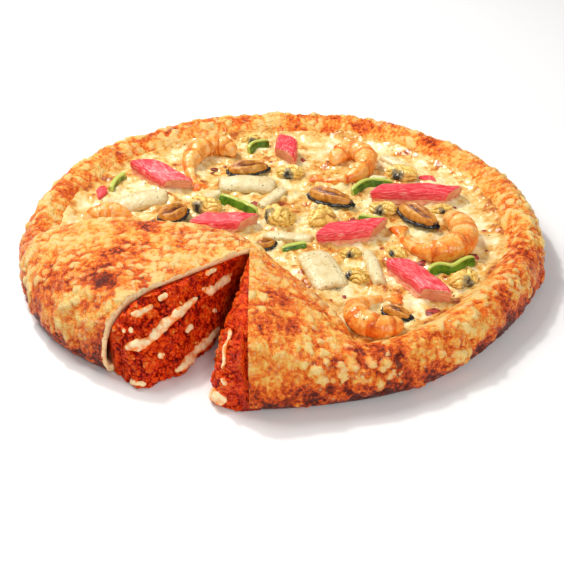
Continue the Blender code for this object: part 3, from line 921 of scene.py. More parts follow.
@dataclass(frozen=True)
class GreenPepper(Finish):
    """Green pepper: shiny dark skin, and pale green where it is cut."""

    name: str = "green_pepper"
    skin: Colour = shade(92, 140, 28)
    deep: Colour = shade(54, 102, 16)
    light: Colour = shade(192, 206, 96)

    def paint(self, p: Paint) -> bpy.types.Material:
        """Dark on the skin side, light on the cut edges and inside.

        Args:
            p: the new material.

        Returns:
            The finished material.
        """
        colour = p.mix(p.grain(0.006, 3).above(0.42, 0.62), self.skin, self.deep)
        cut = (p.mark("cut") + (p.grain(0.004, 3) - 0.5) * 0.5).above(0.35, 0.70)
        colour = p.mix(cut, colour, self.light)
        colour = p.mix(p.specks(0.0040, 0.18, 0.15), colour, HERBS)
        return p.finish(
            Base_Color=colour, Roughness=0.18, Specular_IOR_Level=0.55, Normal=p.relief(p.grain(0.003, 2), 0.0004)
        )


@dataclass(frozen=True)
class PaleFloor(Finish):
    """A plain pale floor."""

    name: str = "pale_floor"
    grey: Colour = (0.86, 0.86, 0.86)

    def paint(self, p: Paint) -> bpy.types.Material:
        """One even matt grey.

        Args:
            p: the new material.

        Returns:
            The finished material.
        """
        return p.finish(Base_Color=self.grey, Roughness=0.9)


# The dough


@dataclass
class PizzaForm:
    """The pizza's plan and heights, which every sub-assembly shares. Lists of points are in mm."""

    radius: float = 150 * MM
    floor: float = 12 * MM
    bed_top: float = 15.2 * MM
    pocket_height: float = 42 * MM
    equator: float = 9 * MM
    pocket_centre: Array = field(default_factory=lambda: np.array([-52.0, -68.0]) * MM)
    back_edge: Keys = field(
        default_factory=lambda: [
            (-131, -7), (-112, -9), (-92, -11), (-72, -13), (-52, -15), (-33, -20), (-17, -30), (-5, -42),
            (5, -55), (15, -68), (24, -80), (31, -92), (36, -105), (40, -119),
        ]
    )
    rim_section: Keys = field(
        default_factory=lambda: [
            (34, 12.0), (30, 12.6), (27, 14.4), (22, 19.0), (17.5, 23.2), (13, 25.8), (9, 26.2), (5, 24.0),
            (2, 20.0), (0.3, 15.0), (0, 9.0), (1.5, 3.8), (4, 0.8), (7, 0.0),
        ]
    )
    rim_from: float = -70.0
    rim_to: float = -171.0
    roundness: float = 2.4

    def __post_init__(self) -> None:
        """Works out the pocket's outline in plan, seen from its centre."""
        front = np.radians(np.linspace(self.rim_to, self.rim_from, 15))
        ends = bump_at(front, self.rim_from, 7) + bump_at(front, self.rim_to, 7)
        arc = directions(front) * (self.edge(front) + (0.8 - 2.2 * ends) * MM)[:, None]
        outline = smooth_path(np.vstack([arc, np.array(self.back_edge[::-1]) * MM]), 1440, closed=True)
        self.pocket_outline = outline - self.pocket_centre

    def edge(self, angle: Array) -> Array:
        """The outer radius: a circle with three waves, drawn in at the two cuts.

        Args:
            angle: directions from the pizza's middle, in radians.

        Returns:
            A radius for each direction.
        """
        waves = 0.9 * np.sin(3 * angle + 0.6) + 0.7 * np.sin(5 * angle + 2.0) + 0.5 * np.sin(9 * angle + 4.0)
        drawn_in = 4.5 * bump_at(angle, -131, 10) + 3.0 * bump_at(angle, -85, 15)
        return self.radius + (waves - drawn_in) * MM

    def rim_scale(self, angle: Array) -> Array:
        """How much wider the rim is than usual in each direction."""
        return 1 + 0.14 * bump_at(angle, -48, 34)

    def rim_slope(self, plan: Array) -> Array:
        """The height of the rim's inner slope, up to its crest.

        Args:
            plan: plan points.

        Returns:
            A height for each point.
        """
        turn, reach = polar(plan)
        inwards = (self.edge(turn) - reach) / self.rim_scale(turn)
        slope = smooth_path(self.rim_section[:7], 120)[::-1] * MM
        return np.interp(inwards, slope[:, 0], slope[:, 1])

    def pocket_reach(self, turn: Array) -> Array:
        """How far the pocket reaches from its centre in each direction."""
        return reach_at(turn, self.pocket_outline)

    def dome(self, plan: Array, shrink: float = 0.0, drop: float = 0.0, equator: float | None = None) -> Array:
        """The pocket's height.

        height = equator + (top - equator) * (1 - (1 - inside)^r)^(1 / r), where inside is the way in from the
        pocket's edge over the width of its rounded side, and r is the roundness.

        Args:
            plan: plan points.
            shrink: how far the edge is drawn in.
            drop: how far the top is lowered.
            equator: the height at the edge, or none for the pocket's own.

        Returns:
            A height for each point, 0 outside the pocket.
        """
        low = self.equator if equator is None else equator
        turn, reach = polar(plan - self.pocket_centre)
        inwards = self.pocket_reach(turn) - shrink - reach
        degrees = np.degrees(turn)
        is_back = smooth_step((degrees + 42) / 20) * smooth_step((152 - degrees) / 20)
        inside = np.clip(inwards / ((36 - 8 * is_back) * MM), 0, 1)
        curve = (1 - (1 - inside) ** self.roundness) ** (1 / self.roundness)
        x = plan[..., 0] / MM
        top = self.pocket_height - (14 * smooth_step((x + 22) / 58) + 6 * smooth_step((-x - 85) / 45)) * MM
        return np.where(inwards > 0, low + (top - drop - low) * curve, 0.0)


@dataclass
class Crust:
    """The dough: a craggy raised rim, and the pocket with its slice cut out."""

    form: PizzaForm
    skin: float = 2.8 * MM
    wall: float = 3.8 * MM
    hollow_floor: float = 4 * MM
    hollow_side: float = 8 * MM
    flake: float = 4.6 * MM
    crisp: float = 2.3 * MM
    apex: Array = field(default_factory=lambda: np.array([-16.0, -60.0]) * MM)
    left_cut: float = -144.0
    right_cut: float = -90.0
    pocket_from: float = 180.0
    pocket_to: float = 294.0
    spots: list[tuple[float, float, float]] = field(
        default_factory=lambda: [
            (44, 114, 8), (-25, 117, 6), (-72, 91, 8), (-6, 123, 5), (97, 96, 7), (-125, 37, 8), (128, -30, 8),
            (-92, -88, 8), (-85, -62, 9), (-124, -72, 14), (-70, -32, 8), (0, -103, 8), (-10, -124, 10),
            (40, -128, 9), (-45, -22, 6), (120, -86, 8),
        ]
    )

    def rim_rows(self, count: int) -> Array:
        """Evenly spaced points of the rim's section.

        Args:
            count: how many points.

        Returns:
            The way in from the edge and the height of each.
        """
        path = smooth_path(self.form.rim_section, 400)
        path[:, 0] = np.maximum(path[:, 0], 0)
        length = np.concatenate([[0], np.cumsum(np.hypot(*np.diff(path, axis=0).T))])
        even = np.linspace(0, length[-1], count)
        return np.stack([np.interp(even, length, path[:, k]) for k in (0, 1)], 1) * MM

    def surface(self, angle: Array, rim_count: int, floor_count: int) -> Array:
        """Points of the outer surface before its relief.

        Each row is one way in from the edge. Its height is the smooth larger of the rim's and the pocket's.

        Args:
            angle: the columns' directions, in radians.
            rim_count: how many rows the rim's section has.
            floor_count: how many rows lead from the middle to the rim.

        Returns:
            A grid of points, from the middle outwards and down.
        """
        rows = self.rim_rows(rim_count)
        edge, wider = self.form.edge(angle), self.form.rim_scale(angle)
        across = edge - rows[:, :1] * wider
        height = np.repeat(rows[:, 1:], len(angle), 1)
        share = np.linspace(0.003, 1, floor_count, endpoint=False)[:, None]
        across = np.vstack([across[0] * share, across])
        height = np.vstack([np.full((floor_count, len(angle)), self.form.floor), height])
        plan = directions(angle) * across[..., None]
        dome = self.form.dome(plan)
        top = np.arange(len(across)) < floor_count + np.argmax(rows[:, 0] <= 0.05 * MM)
        blend = 2.5 * MM * smooth_step(dome / (14 * MM))
        height = np.where(top[:, None] & (dome > 0), smooth_larger(height, dome, blend), height)
        return with_height(plan, height)

    def relief(self, grid: Array) -> tuple[Array, dict[str, Array]]:
        """Crags and crisp flakes on a grid of points.

        Wide and narrow noise make the crags. A flake is a low lump round some of the scattered seeds.

        Args:
            grid: points of the smooth surface.

        Returns:
            The grid moved along its normals, and the marks for its finish.
        """
        normal = unit(np.cross(np.gradient(grid, axis=0), np.gradient(grid, axis=1)))
        turn, reach = polar(grid)
        from_edge = (self.form.edge(turn) - reach) / MM
        is_pocket = smooth_step((self.form.dome(grid[..., :2]) / MM - 14) / 12)
        inner = smooth_step((from_edge - 9) / 12) * (1 - is_pocket)
        warped = grid + 1.5 * MM * np.stack([Noise.smooth(grid, 6 * MM, s) for s in (1, 2, 3)], -1)
        crag = Noise.fractal(grid, 15 * MM, 2, 3) * 1.2 + Noise.smooth(grid, 6 * MM, 8) * 0.8
        near, _, pick = Noise.cells(warped, self.flake, 21)
        small, _, small_pick = Noise.cells(warped, self.crisp, 22)
        patch = smooth_step(Noise.smooth(grid, 20 * MM, 30) * 1.3 + 0.5)
        flake = lump(near, 0.66) * smooth_step((pick - 0.15) / 0.5)
        crisp = lump(small, 0.72) * (0.35 + 0.65 * small_pick)
        lift = (crag + (0.35 + 0.95 * patch) * flake + 0.55 * crisp - 0.80) * (1.25 - 0.25 * is_pocket)
        keep = smooth_step((grid[..., 2] - 0.5 * MM) / (4 * MM)) * (1 - 0.7 * inner)
        out = grid + normal * (lift * keep * MM)[..., None]
        out[..., 2] = np.maximum(out[..., 2], 0)
        rise = np.clip(0.14 + (0.20 + 0.50 * patch) * flake + 0.28 * crisp + 0.14 * crag, 0, 1)
        # Lower down the sides the toast grows: partly the bake's colour, partly painted shade where less light
        # reaches.
        side = smooth_step(((19 + 8 * is_pocket) * MM - grid[..., 2]) / (19 * MM))
        toast_and_shade = 0.24 - 0.08 * is_pocket + (1.2 - 0.15 * is_pocket) * side + 0.30 * Noise.smooth(grid, 45 * MM, 40)
        uneven = 1 + 0.7 * Noise.smooth(grid, 7 * MM, 44)
        for x, y, radius in self.spots:
            away = np.hypot(grid[..., 0] - x * MM, grid[..., 1] - y * MM) / (radius * MM * uneven)
            toast_and_shade = toast_and_shade + 0.65 * bell(away, 1)
        return out, {"rise": rise, "toast_and_shade": toast_and_shade, "inner": inner}

    def solid(self, name: str, angle: Array, rim_count: int, floor_count: int) -> bpy.types.Object:
        """One sector of the crust as a closed solid.

        Each angle gives one closed ring: the outer surface from the middle outwards and down, then the flat
        underside back to the middle. The relief is worked out one angle further at both ends, so that two
        sectors meet without a step.

        Args:
            name: the sector's name.
            angle: its evenly spaced directions, in radians.
            rim_count: how many rows the rim's section has.
            floor_count: how many rows lead from the middle to the rim.

        Returns:
            The new object.
        """
        step = angle[1] - angle[0]
        wide = np.concatenate([[angle[0] - step], angle, [angle[-1] + step]])
        grid, marks = self.relief(self.surface(wide, rim_count, floor_count))
        grid = grid[:, 1:-1]
        share = np.linspace(0, 1, 9)[1:, None, None]
        foot, middle = grid[-1, :, :2], grid[0, :, :2]
        under = with_height(foot + (middle - foot) * share, 0.0)
        ring = np.concatenate([grid, under])
        blank = np.zeros((len(under), len(angle)))
        marks = {k: np.concatenate([v[:, 1:-1], blank]).T for k, v in marks.items()}
        ends = angle[[0, -1]]
        inside_rim = (self.form.edge(ends) - 17 * MM * self.form.rim_scale(ends))[:, None]
        poles = with_height(directions(ends) * inside_rim, 8 * MM)
        return tube_piece(name, np.swapaxes(ring, 0, 1), marks, poles)

    def prism(self) -> bpy.types.Object:
        """The cut slice as an upright prism.

        Returns:
            A cutter.
        """
        reach = np.linspace(0, 1, 9)[:, None]
        arc = turned(self.left_cut) * (1 - reach) + turned(self.right_cut) * reach
        plan = np.vstack([self.apex, self.apex + arc / np.hypot(*arc.T)[:, None] * 190 * MM])
        rings = np.stack([with_height(plan, z) for z in (-10 * MM, 80 * MM)])
        return tube_piece("slice_cutter", rings)

    def hollow(self) -> bpy.types.Object:
        """The space inside the pocket: rings from its top to its bottom about its centre.

        Returns:
            A cutter.
        """
        turn = np.linspace(-math.pi, math.pi, 200, endpoint=False)
        reach = self.form.pocket_reach(turn) - self.wall
        share = np.sin(np.linspace(0.04, math.pi / 2, 40))[:, None]
        plan = self.form.pocket_centre + directions(turn) * (reach * share)[..., None]
        inner = self.form.pocket_centre + directions(turn) * (reach * share * 0.9999)[..., None]
        height = np.maximum(self.form.dome(inner, self.wall, self.skin, self.hollow_side), self.hollow_side)
        rounded = ((1.2 * MM, 5.4 * MM), (4 * MM, self.hollow_floor))
        foot = [with_height(plan[-1] - directions(turn) * inwards, z) for inwards, z in rounded]
        return tube_piece("hollow_cutter", np.concatenate([with_height(plan, height), np.array(foot)]))

    def cut(self, piece: bpy.types.Object) -> None:
        """Takes the slice and the hollow out of the pocket. The new faces get the cut dough's material.

        Args:
            piece: the pocket.
        """
        cutters = [self.prism(), self.hollow()]
        piece.data.materials.append(BakedCrust().material())
        group = bpy.data.collections.new("cutters")
        for cutter in cutters:
            cutter.data.materials.append(CutDough().material())
            bpy.context.scene.collection.objects.unlink(cutter)
            group.objects.link(cutter)
        bpy.context.scene.collection.children.link(group)
        change = piece.modifiers.new("cut", "BOOLEAN")
        change.operation = "DIFFERENCE"
        change.operand_type = "COLLECTION"
        change.collection = group
        change.solver = "MANIFOLD"
        change.material_mode = "TRANSFER"
        bpy.context.view_layer.update()
        mesh = bpy.data.meshes.new_from_object(piece.evaluated_get(bpy.context.evaluated_depsgraph_get()))
        piece.modifiers.clear()
        piece.data = mesh
        for cutter in cutters:
            bpy.data.objects.remove(cutter)
        bpy.data.collections.remove(group)

    def build(self) -> None:
        """Makes the rim and the pocket."""
        step = 0.32
        rim_count = 92
        columns = math.ceil((self.pocket_from + 360 - self.pocket_to) / step + 0.5)
        around = np.radians(np.linspace(self.pocket_to, self.pocket_from + 360, columns))
        rim = self.solid("crust_rim", around, rim_count, 4)
        place(rim, BakedCrust(), "dough")
        columns = int((self.pocket_to - self.pocket_from) / step)
        front = np.radians(np.linspace(self.pocket_from, self.pocket_to, columns))
        pocket = self.solid("crust_pocket", front, rim_count, 140)
        self.cut(pocket)
        place(pocket, BakedCrust(), "dough")


# The filling


class Side(Enum):
    """The two faces of filling that the cut slice shows."""

    LEFT = "left"
    RIGHT = "right"


@dataclass
class Filling:
    """Minced meat that swells out of both cuts, with strands of melted cheese."""

    crust: Crust
    face_top: float = 44 * MM
    spill: float = 13 * MM
    reach: float = 87.5 * MM
    crumb_kinds: tuple[tuple[float, float, float], ...] = ((10.0, 2.6, 0.26), (4.0, 1.6, 0.34), (1.8, 1.0, 0.34))
    lengths: dict[Side, float] = field(default_factory=lambda: {Side.LEFT: 87 * MM, Side.RIGHT: 86.5 * MM})
    feet: dict[Side, Keys] = field(
        default_factory=lambda: {
            Side.LEFT: [
                (-21.5, -54), (-26, -62), (-31, -76), (-37, -92), (-45, -104), (-51, -115), (-59, -119),
                (-68, -126), (-77, -122), (-85.5, -112.5),
            ],
            Side.RIGHT: [
                (-18.5, -54), (-22, -66), (-25, -78), (-27, -88), (-32, -97), (-33, -110), (-34, -122),
                (-35, -133), (-31, -141), (-20, -147),
            ],
        }
    )
    strands: list[tuple[Side, float, Keys]] = field(
        default_factory=lambda: [
            (Side.LEFT, 4.6, [(0.90, 0.56), (0.83, 0.51), (0.74, 0.48), (0.63, 0.40), (0.52, 0.34), (0.38, 0.32)]),
            (Side.LEFT, 4.6, [(0.61, 0.91), (0.51, 0.88), (0.42, 0.85), (0.33, 0.86), (0.25, 0.87)]),
            (Side.LEFT, 4.0, [(0.36, 0.25), (0.29, 0.34), (0.20, 0.36), (0.11, 0.38)]),
            (Side.LEFT, 3.2, [(0.84, 0.20), (0.78, 0.21), (0.69, 0.20)]),
            (Side.LEFT, 2.6, [(0.66, 0.17), (0.59, 0.14)]),
            (Side.LEFT, 2.6, [(0.33, 0.14), (0.24, 0.15)]),
            (Side.LEFT, 2.8, [(0.49, 0.57), (0.44, 0.54)]),
            (Side.LEFT, 2.4, [(0.86, 0.36), (0.83, 0.34)]),
            (Side.LEFT, 2.0, [(0.90, 0.37), (0.88, 0.35)]),
            (Side.LEFT, 3.0, [(0.89, 0.93), (0.85, 0.94), (0.78, 0.93)]),
            (Side.LEFT, 2.2, [(0.70, 0.66), (0.66, 0.67)]),
            (Side.LEFT, 2.0, [(0.30, 0.58), (0.27, 0.60)]),
            (Side.RIGHT, 3.6, [(0.66, 0.30), (0.74, 0.34), (0.82, 0.42), (0.88, 0.52)]),
            (Side.RIGHT, 3.0, [(0.90, 0.62), (0.93, 0.70)]),
            (Side.RIGHT, 5.6, [(0.72, 0.97), (0.80, 0.92), (0.88, 0.88), (0.94, 0.88)]),
        ]
    )

    def lines(self, side: Side, along: Array) -> tuple[Array, Array]:
        """The top line and the foot of a face.

        Args:
            side: which face.
            along: shares of the way along it.

        Returns:
            Plan points of both lines.
        """
        turn = self.crust.left_cut if side is Side.LEFT else self.crust.right_cut
        shift = np.array([-0.55, 0.75] if side is Side.LEFT else [0.6, 0.0]) * MM
        top = self.crust.apex + shift + along[..., None] * turned(turn) * self.lengths[side]
        path = smooth_path(np.array(self.feet[side]) * MM, 400)
        stations = np.linspace(0, 1, 400)
        foot = np.stack([np.interp(along, stations, path[:, k]) for k in (0, 1)], -1)
        return top, foot

    def face(self, side: Side, along: Array, down: Array) -> tuple[Array, Array]:
        """Points of a face, and the direction out of it, before its crumbs.

        The plan moves from the top line to the foot by sin(down * 90 degrees)^0.9 while the height falls evenly.

        Args:
            side: which face.
            along: shares of the way along it.
            down: shares of the way down it.

        Returns:
            The points, and a unit vector out of the face at each.
        """
        top, foot = self.lines(side, along)
        out = np.sin(np.clip(down, 0, 1) * math.pi / 2) ** 0.9
        across = foot - top
        width = np.hypot(across[..., 0], across[..., 1])
        points = with_height(top + across * out[..., None], self.face_top * (1 - down))
        return points, unit(with_height(across / np.maximum(width, 1e-6)[..., None], 0.5))

    def crumbs(self, points: Array) -> tuple[Array, Array]:
        """How far the crumbs stand out of the smooth face.

        Each scattered seed carries a round lump, in the three kinds of crumb_kinds, over wide waves. A kind is
        its size and height in mm, and its part of the mark.

        Args:
            points: points of the face.

        Returns:
            The height in metres, and a mark from 0 in the pits to 1 on the tops.
        """
        warp = points + 1.2 * MM * np.stack([Noise.smooth(points, 4 * MM, s) for s in (61, 62, 63)], -1)
        height, mark = 1.3 * Noise.fractal(points, 14 * MM, 2, 55) - 2.0, 0.10
        for size, tall, part in self.crumb_kinds:
            near, second, pick = Noise.cells(warp, size * MM, int(size * 10))
            crumb = lump(near, 0.82) * (0.35 + 0.65 * pick) * smooth_step((second - near) / 0.22)
            height, mark = height + tall * crumb, mark + part * crumb
        height = height + 0.25 * Noise.smooth(points, 1.2 * MM, 57)
        return height * MM, np.clip(mark, 0, 1)

    def limit(self, side: Side, plan: Array) -> Array:
        """The height under which the filling stays.

        That is the inside of the pocket, or a low step outside it. Where a face stands in front of its cut and
        far from the slice's point, it is the outside of the pocket.

        Args:
            side: which face.
            plan: plan points.

        Returns:
            A height for each point.
        """
        form, crust = self.crust.form, self.crust
        inner = form.dome(plan, crust.wall + 0.5 * MM, crust.skin + 0.3 * MM, 7.6 * MM)
        outer = form.dome(plan, 0.8 * MM, 0.9 * MM)
        turn = crust.left_cut + 90 if side is Side.LEFT else crust.right_cut - 90
        front = (plan - crust.apex) @ turned(turn)
        away = np.linalg.norm(plan - crust.apex, axis=-1)
        share = smooth_step((front - 0.5 * MM) / (3 * MM)) * smooth_step((away - 55 * MM) / (20 * MM))
        step = self.spill * np.sqrt(np.clip(1 - (away / (self.reach + 1 * MM)) ** 8, 0, 1))
        return np.maximum(inner + (outer - inner) * share, step)

    def raised(self, side: Side, along: Array, down: Array) -> tuple[Array, Array]:
        """Face points moved out by their crumbs, with the crumbs' mark.

        First they are drawn in to the filling's reach r from the slice's point, by
        far - k ln(1 + e^((far - r) / k)). Last they are kept under its height limit.

        Args:
            side: which face.
            along: shares of the way along it.
            down: shares of the way down it.

        Returns:
            The points and the mark.
        """
        points, outwards = self.face(side, along, down)
        away = points[..., :2] - self.crust.apex
        far = np.maximum(np.linalg.norm(away, axis=-1), 1e-6)
        soft = 1.6 * MM
        over = (far - self.reach + 0.4 * MM) / soft
        points[..., :2] = self.crust.apex + away * (1 - soft * np.logaddexp(0, over) / far)[..., None]
        turn = (1 / (1 + np.exp(-over)))[..., None]
        outwards = unit(outwards * (1 - turn) + with_height(away / far[..., None], 0.0) * turn)
        height, mark = self.crumbs(points)
        top, foot = self.lines(side, along)
        width = np.hypot(*np.moveaxis(foot - top, -1, 0))
        room = np.clip(along * 4, 0, 1) * np.clip(width / (7 * MM), 0, 1) * np.clip((down + 0.12) * 4, 0, 1)
        points = points + outwards * (height * room)[..., None]
        away = points[..., :2] - self.crust.apex
        far = np.maximum(np.linalg.norm(away, axis=-1), 1e-6)
        points[..., :2] = self.crust.apex + away * (np.minimum(far, self.reach) / far)[..., None]
        points[..., 2] = np.clip(points[..., 2], 0.25 * MM, self.limit(side, points[..., :2]))
        return points, mark

    def face_piece(self, side: Side) -> bpy.types.Object:
        """One face as a closed slab: the crumbled front, and a plain back inside the pocket.

        Args:
            side: which face.

        Returns:
            The new object.
        """
        columns, rows = ((230, 130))
        along, down = np.broadcast_arrays(np.linspace(0, 1, columns)[:, None], np.linspace(0.04, 1, rows)[None])
        front, mark = self.raised(side, along, down)
        turn = self.crust.left_cut - 90 if side is Side.LEFT else self.crust.right_cut + 90
        behind = front[:, :1, :2] + turned(turn) * 5 * MM
        heights = np.linspace(1, 0, 6) ** 0.5 * (self.limit(side, behind) - 1 * MM) + 1 * MM
        back = with_height(np.repeat(behind, 6, 1), heights)
        grid = np.concatenate([front, back[:, ::-1]], 1)
        marks = {"rise": np.concatenate([mark, np.full((columns, 6), 0.4)], 1)}
        return tube_piece(f"meat_face_{side.value}", grid, marks=marks)

    def strand(self, number: int, side: Side, width: float, keys: Keys) -> bpy.types.Object:
        """A flat uneven strand of cheese that sinks into the crumbs, with tapered ends.

        radius = width / 2 * (1 - (2t - 1)^4)^0.6 * (1 + noise). Its middle line wanders a little.

        Args:
            number: its number.
            side: which face it lies on.
            width: its width in mm.
            keys: points of its line, as shares along and down the face.

        Returns:
            The new object.
        """
        count = 16 + 14 * len(keys)
        path = smooth_path(keys, count)
        _, outwards = self.face(side, path[:, 0], path[:, 1])
        surface, _ = self.raised(side, path[:, 0], path[:, 1])
        soft = np.pad(surface, ((5, 5), (0, 0)), "edge")
        centre = np.mean([soft[k : k + count] for k in range(11)], 0) + outwards * 0.7 * MM
        centre = centre + 0.7 * MM * np.stack([Noise.smooth(centre, 7 * MM, 66 + k + number) for k in range(3)], -1)
        centre[:, 2] = np.maximum(centre[:, 2], 1.4 * MM)
        around = full_turn(24)
        section = directions(around) * [1, 0.50]
        t = np.linspace(0, 1, count)
        ends = np.clip(1 - (2 * t - 1) ** 4, 0.01, 1) ** 0.6
        uneven = 1.15 + 0.40 * Noise.smooth(centre, 5.5 * MM, 70 + number) + 0.12 * np.sin(t * 4 * len(keys) + number)
        radius = width * MM / 2 * ends * uneven
        grid = sweep(centre, radius, section, outwards)
        away = (grid - centre[:, None]) / np.maximum(radius, 1e-6)[:, None, None]
        lumps = 0.45 * Noise.smooth(grid, 2.8 * MM, 90 + number) + 0.18 * Noise.smooth(grid, 1.3 * MM, 95 + number)
        grid = grid + away * (lumps * MM * ends[:, None])[..., None]
        grid[..., 2] = np.maximum(grid[..., 2], 0.1 * MM)
        edge = np.broadcast_to(np.cos(around) ** 2, grid.shape[:2])
        return tube_piece(f"cheese_strand_{number}", grid, marks={"edge": edge})

    def build(self) -> None:
        """Makes both faces and every strand."""
        for side in Side:
            place(self.face_piece(side), MeatSauce(), "meat_filling")
        for number, (side, width, keys) in enumerate(self.strands, 1):
            place(self.strand(number, side, width, keys), CheeseStrand(), "meat_filling")


# The toppings


@dataclass
class Topping:
    """A piece that lies on the cheese, in the place of the solid of its name."""

    node: str

    @property
    def low(self) -> float:
        """The height of the solid's lowest point."""
        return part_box(self.node)[0][2]

    def footprint(self) -> Array:
        """Plan points that cover it: the solid's own.

        Returns:
            The points, each one once.
        """
        mesh = bpy.data.objects[self.node].data
        points = np.empty(len(mesh.vertices) * 3, np.float32)
        mesh.vertices.foreach_get("co", points)
        return np.unique(points.reshape(-1, 3)[:, :2], axis=0)

    def build(self) -> None:
        """Makes the piece. Each topping has its own."""
        raise NotImplementedError


def lie_down(points: Array, x: float, y: float, turn: float, low: float) -> Array:
    """Puts points in place.

    Args:
        points: points in mm about the origin.
        x, y: their place in mm.
        turn: their turn in plan, in degrees.
        low: the height that they stand on, in metres.

    Returns:
        The points in metres.
    """
    c, s = math.cos(math.radians(turn)), math.sin(math.radians(turn))
    rotation = np.array([[c, s, 0], [-s, c, 0], [0, 0, 1]])
    return (points @ rotation + [x, y, 0]) * MM + [0, 0, low]


@dataclass
class Shrimp(Topping):
    """A curled peeled shrimp on its side, with overlapping segments and a tail fan."""

    thickness: float
    centreline: Keys
    segments: int = 6
    tail_from: float = 0.86

    def build(self) -> None:
        """Sweeps a segmented section along the curl.

        The radius steps out where each segment begins and shrinks towards its end. Past tail_from the section
        flattens and spreads, and its end is notched into two lobes.
        """
        count, sides = 170, 44
        path = smooth_path(self.centreline, count)
        t = np.linspace(0, 1, count)
        size = 0.68 + 0.36 * np.sin(np.clip(t * 1.5, 0, 1) * math.pi) ** 0.7
        size = size * (1 - 0.54 * smooth_step((t - 0.42) / 0.50))
        blunt = np.sqrt(np.clip(1 - np.clip(1 - t / 0.06, 0, 1) ** 2, 0.04, 1))
        body = np.clip(t / (self.tail_from - 0.03), 0, 1) ** 0.9
        part = body * self.segments % 1.0
        is_body = smooth_step((self.tail_from - 0.02 - t) / 0.04)
        tail = smooth_step((t - self.tail_from) / (1 - self.tail_from))
        radius = self.thickness / 2 * size * blunt * (1 + (0.085 * (1 - part) - 0.03) * is_body)
        radius = radius * (1 - 0.20 * bell(t - self.tail_from, 0.035))
        radius = radius * (1 - tail) + tail * self.thickness * 0.40
        radius[-4:] *= [0.98, 0.93, 0.82, 0.60]
        slope = np.gradient(path, axis=0)
        bend = np.gradient(slope, axis=0)
        outer = np.sign((slope[:, 0] * bend[:, 1] - slope[:, 1] * bend[:, 0]).sum())
        cos, sin = directions(full_turn(sides)).T[:, None]
        flat = (0.94 - 0.66 * tail)[:, None]
        inside = np.clip(-cos * outer, 0, 1)
        legs = 1 + inside**3 * is_body[:, None] * (0.10 * np.cos(body * self.segments * 2 * math.pi)[:, None] - 0.10)
        section = np.stack([cos * legs, sin * flat], -1)
        centre = with_height(path, radius * flat[:, 0]) * MM + [0, 0, self.low - 0.3 * MM]
        grid = sweep(centre, radius * MM, section)
        ahead = unit(np.gradient(centre, axis=0))
        notch = tail[:, None] ** 2 * bell(cos, 0.35) * smooth_step((t[:, None] - 0.93) / 0.07)
        grid -= ahead[:, None] * (notch * 0.34 * self.thickness * MM)[..., None]
        rough = 0.05 * Noise.smooth(grid, 4 * MM, 5) + 0.03 * Noise.smooth(grid, 1.8 * MM, 6)
        grid += (grid - centre[:, None]) * rough[..., None]
        whole = np.ones_like(cos)
        band = bell(part - 0.03, 0.06)[:, None] * is_body[:, None] * whole
        back = np.clip(cos * outer * 0.8 + sin * 0.3, 0, 1) ** 1.2 * np.ones((count, 1))
        marks = {"band": band, "back": back, "along": t[:, None] * whole, "part": part[:, None] * whole}
        place(tube_piece(f"{self.node}_body", grid, marks=marks), ShrimpFlesh(), self.node)


@dataclass
class Lying(Topping):
    """A topping with one place, turn and size."""

    x: float
    y: float
    turn: float
    length: float

    def put(self, points: Array) -> Array:
        """Local points in mm, set in place on the cheese."""
        return lie_down(points, self.x, self.y, self.turn, self.low - 0.2 * MM)


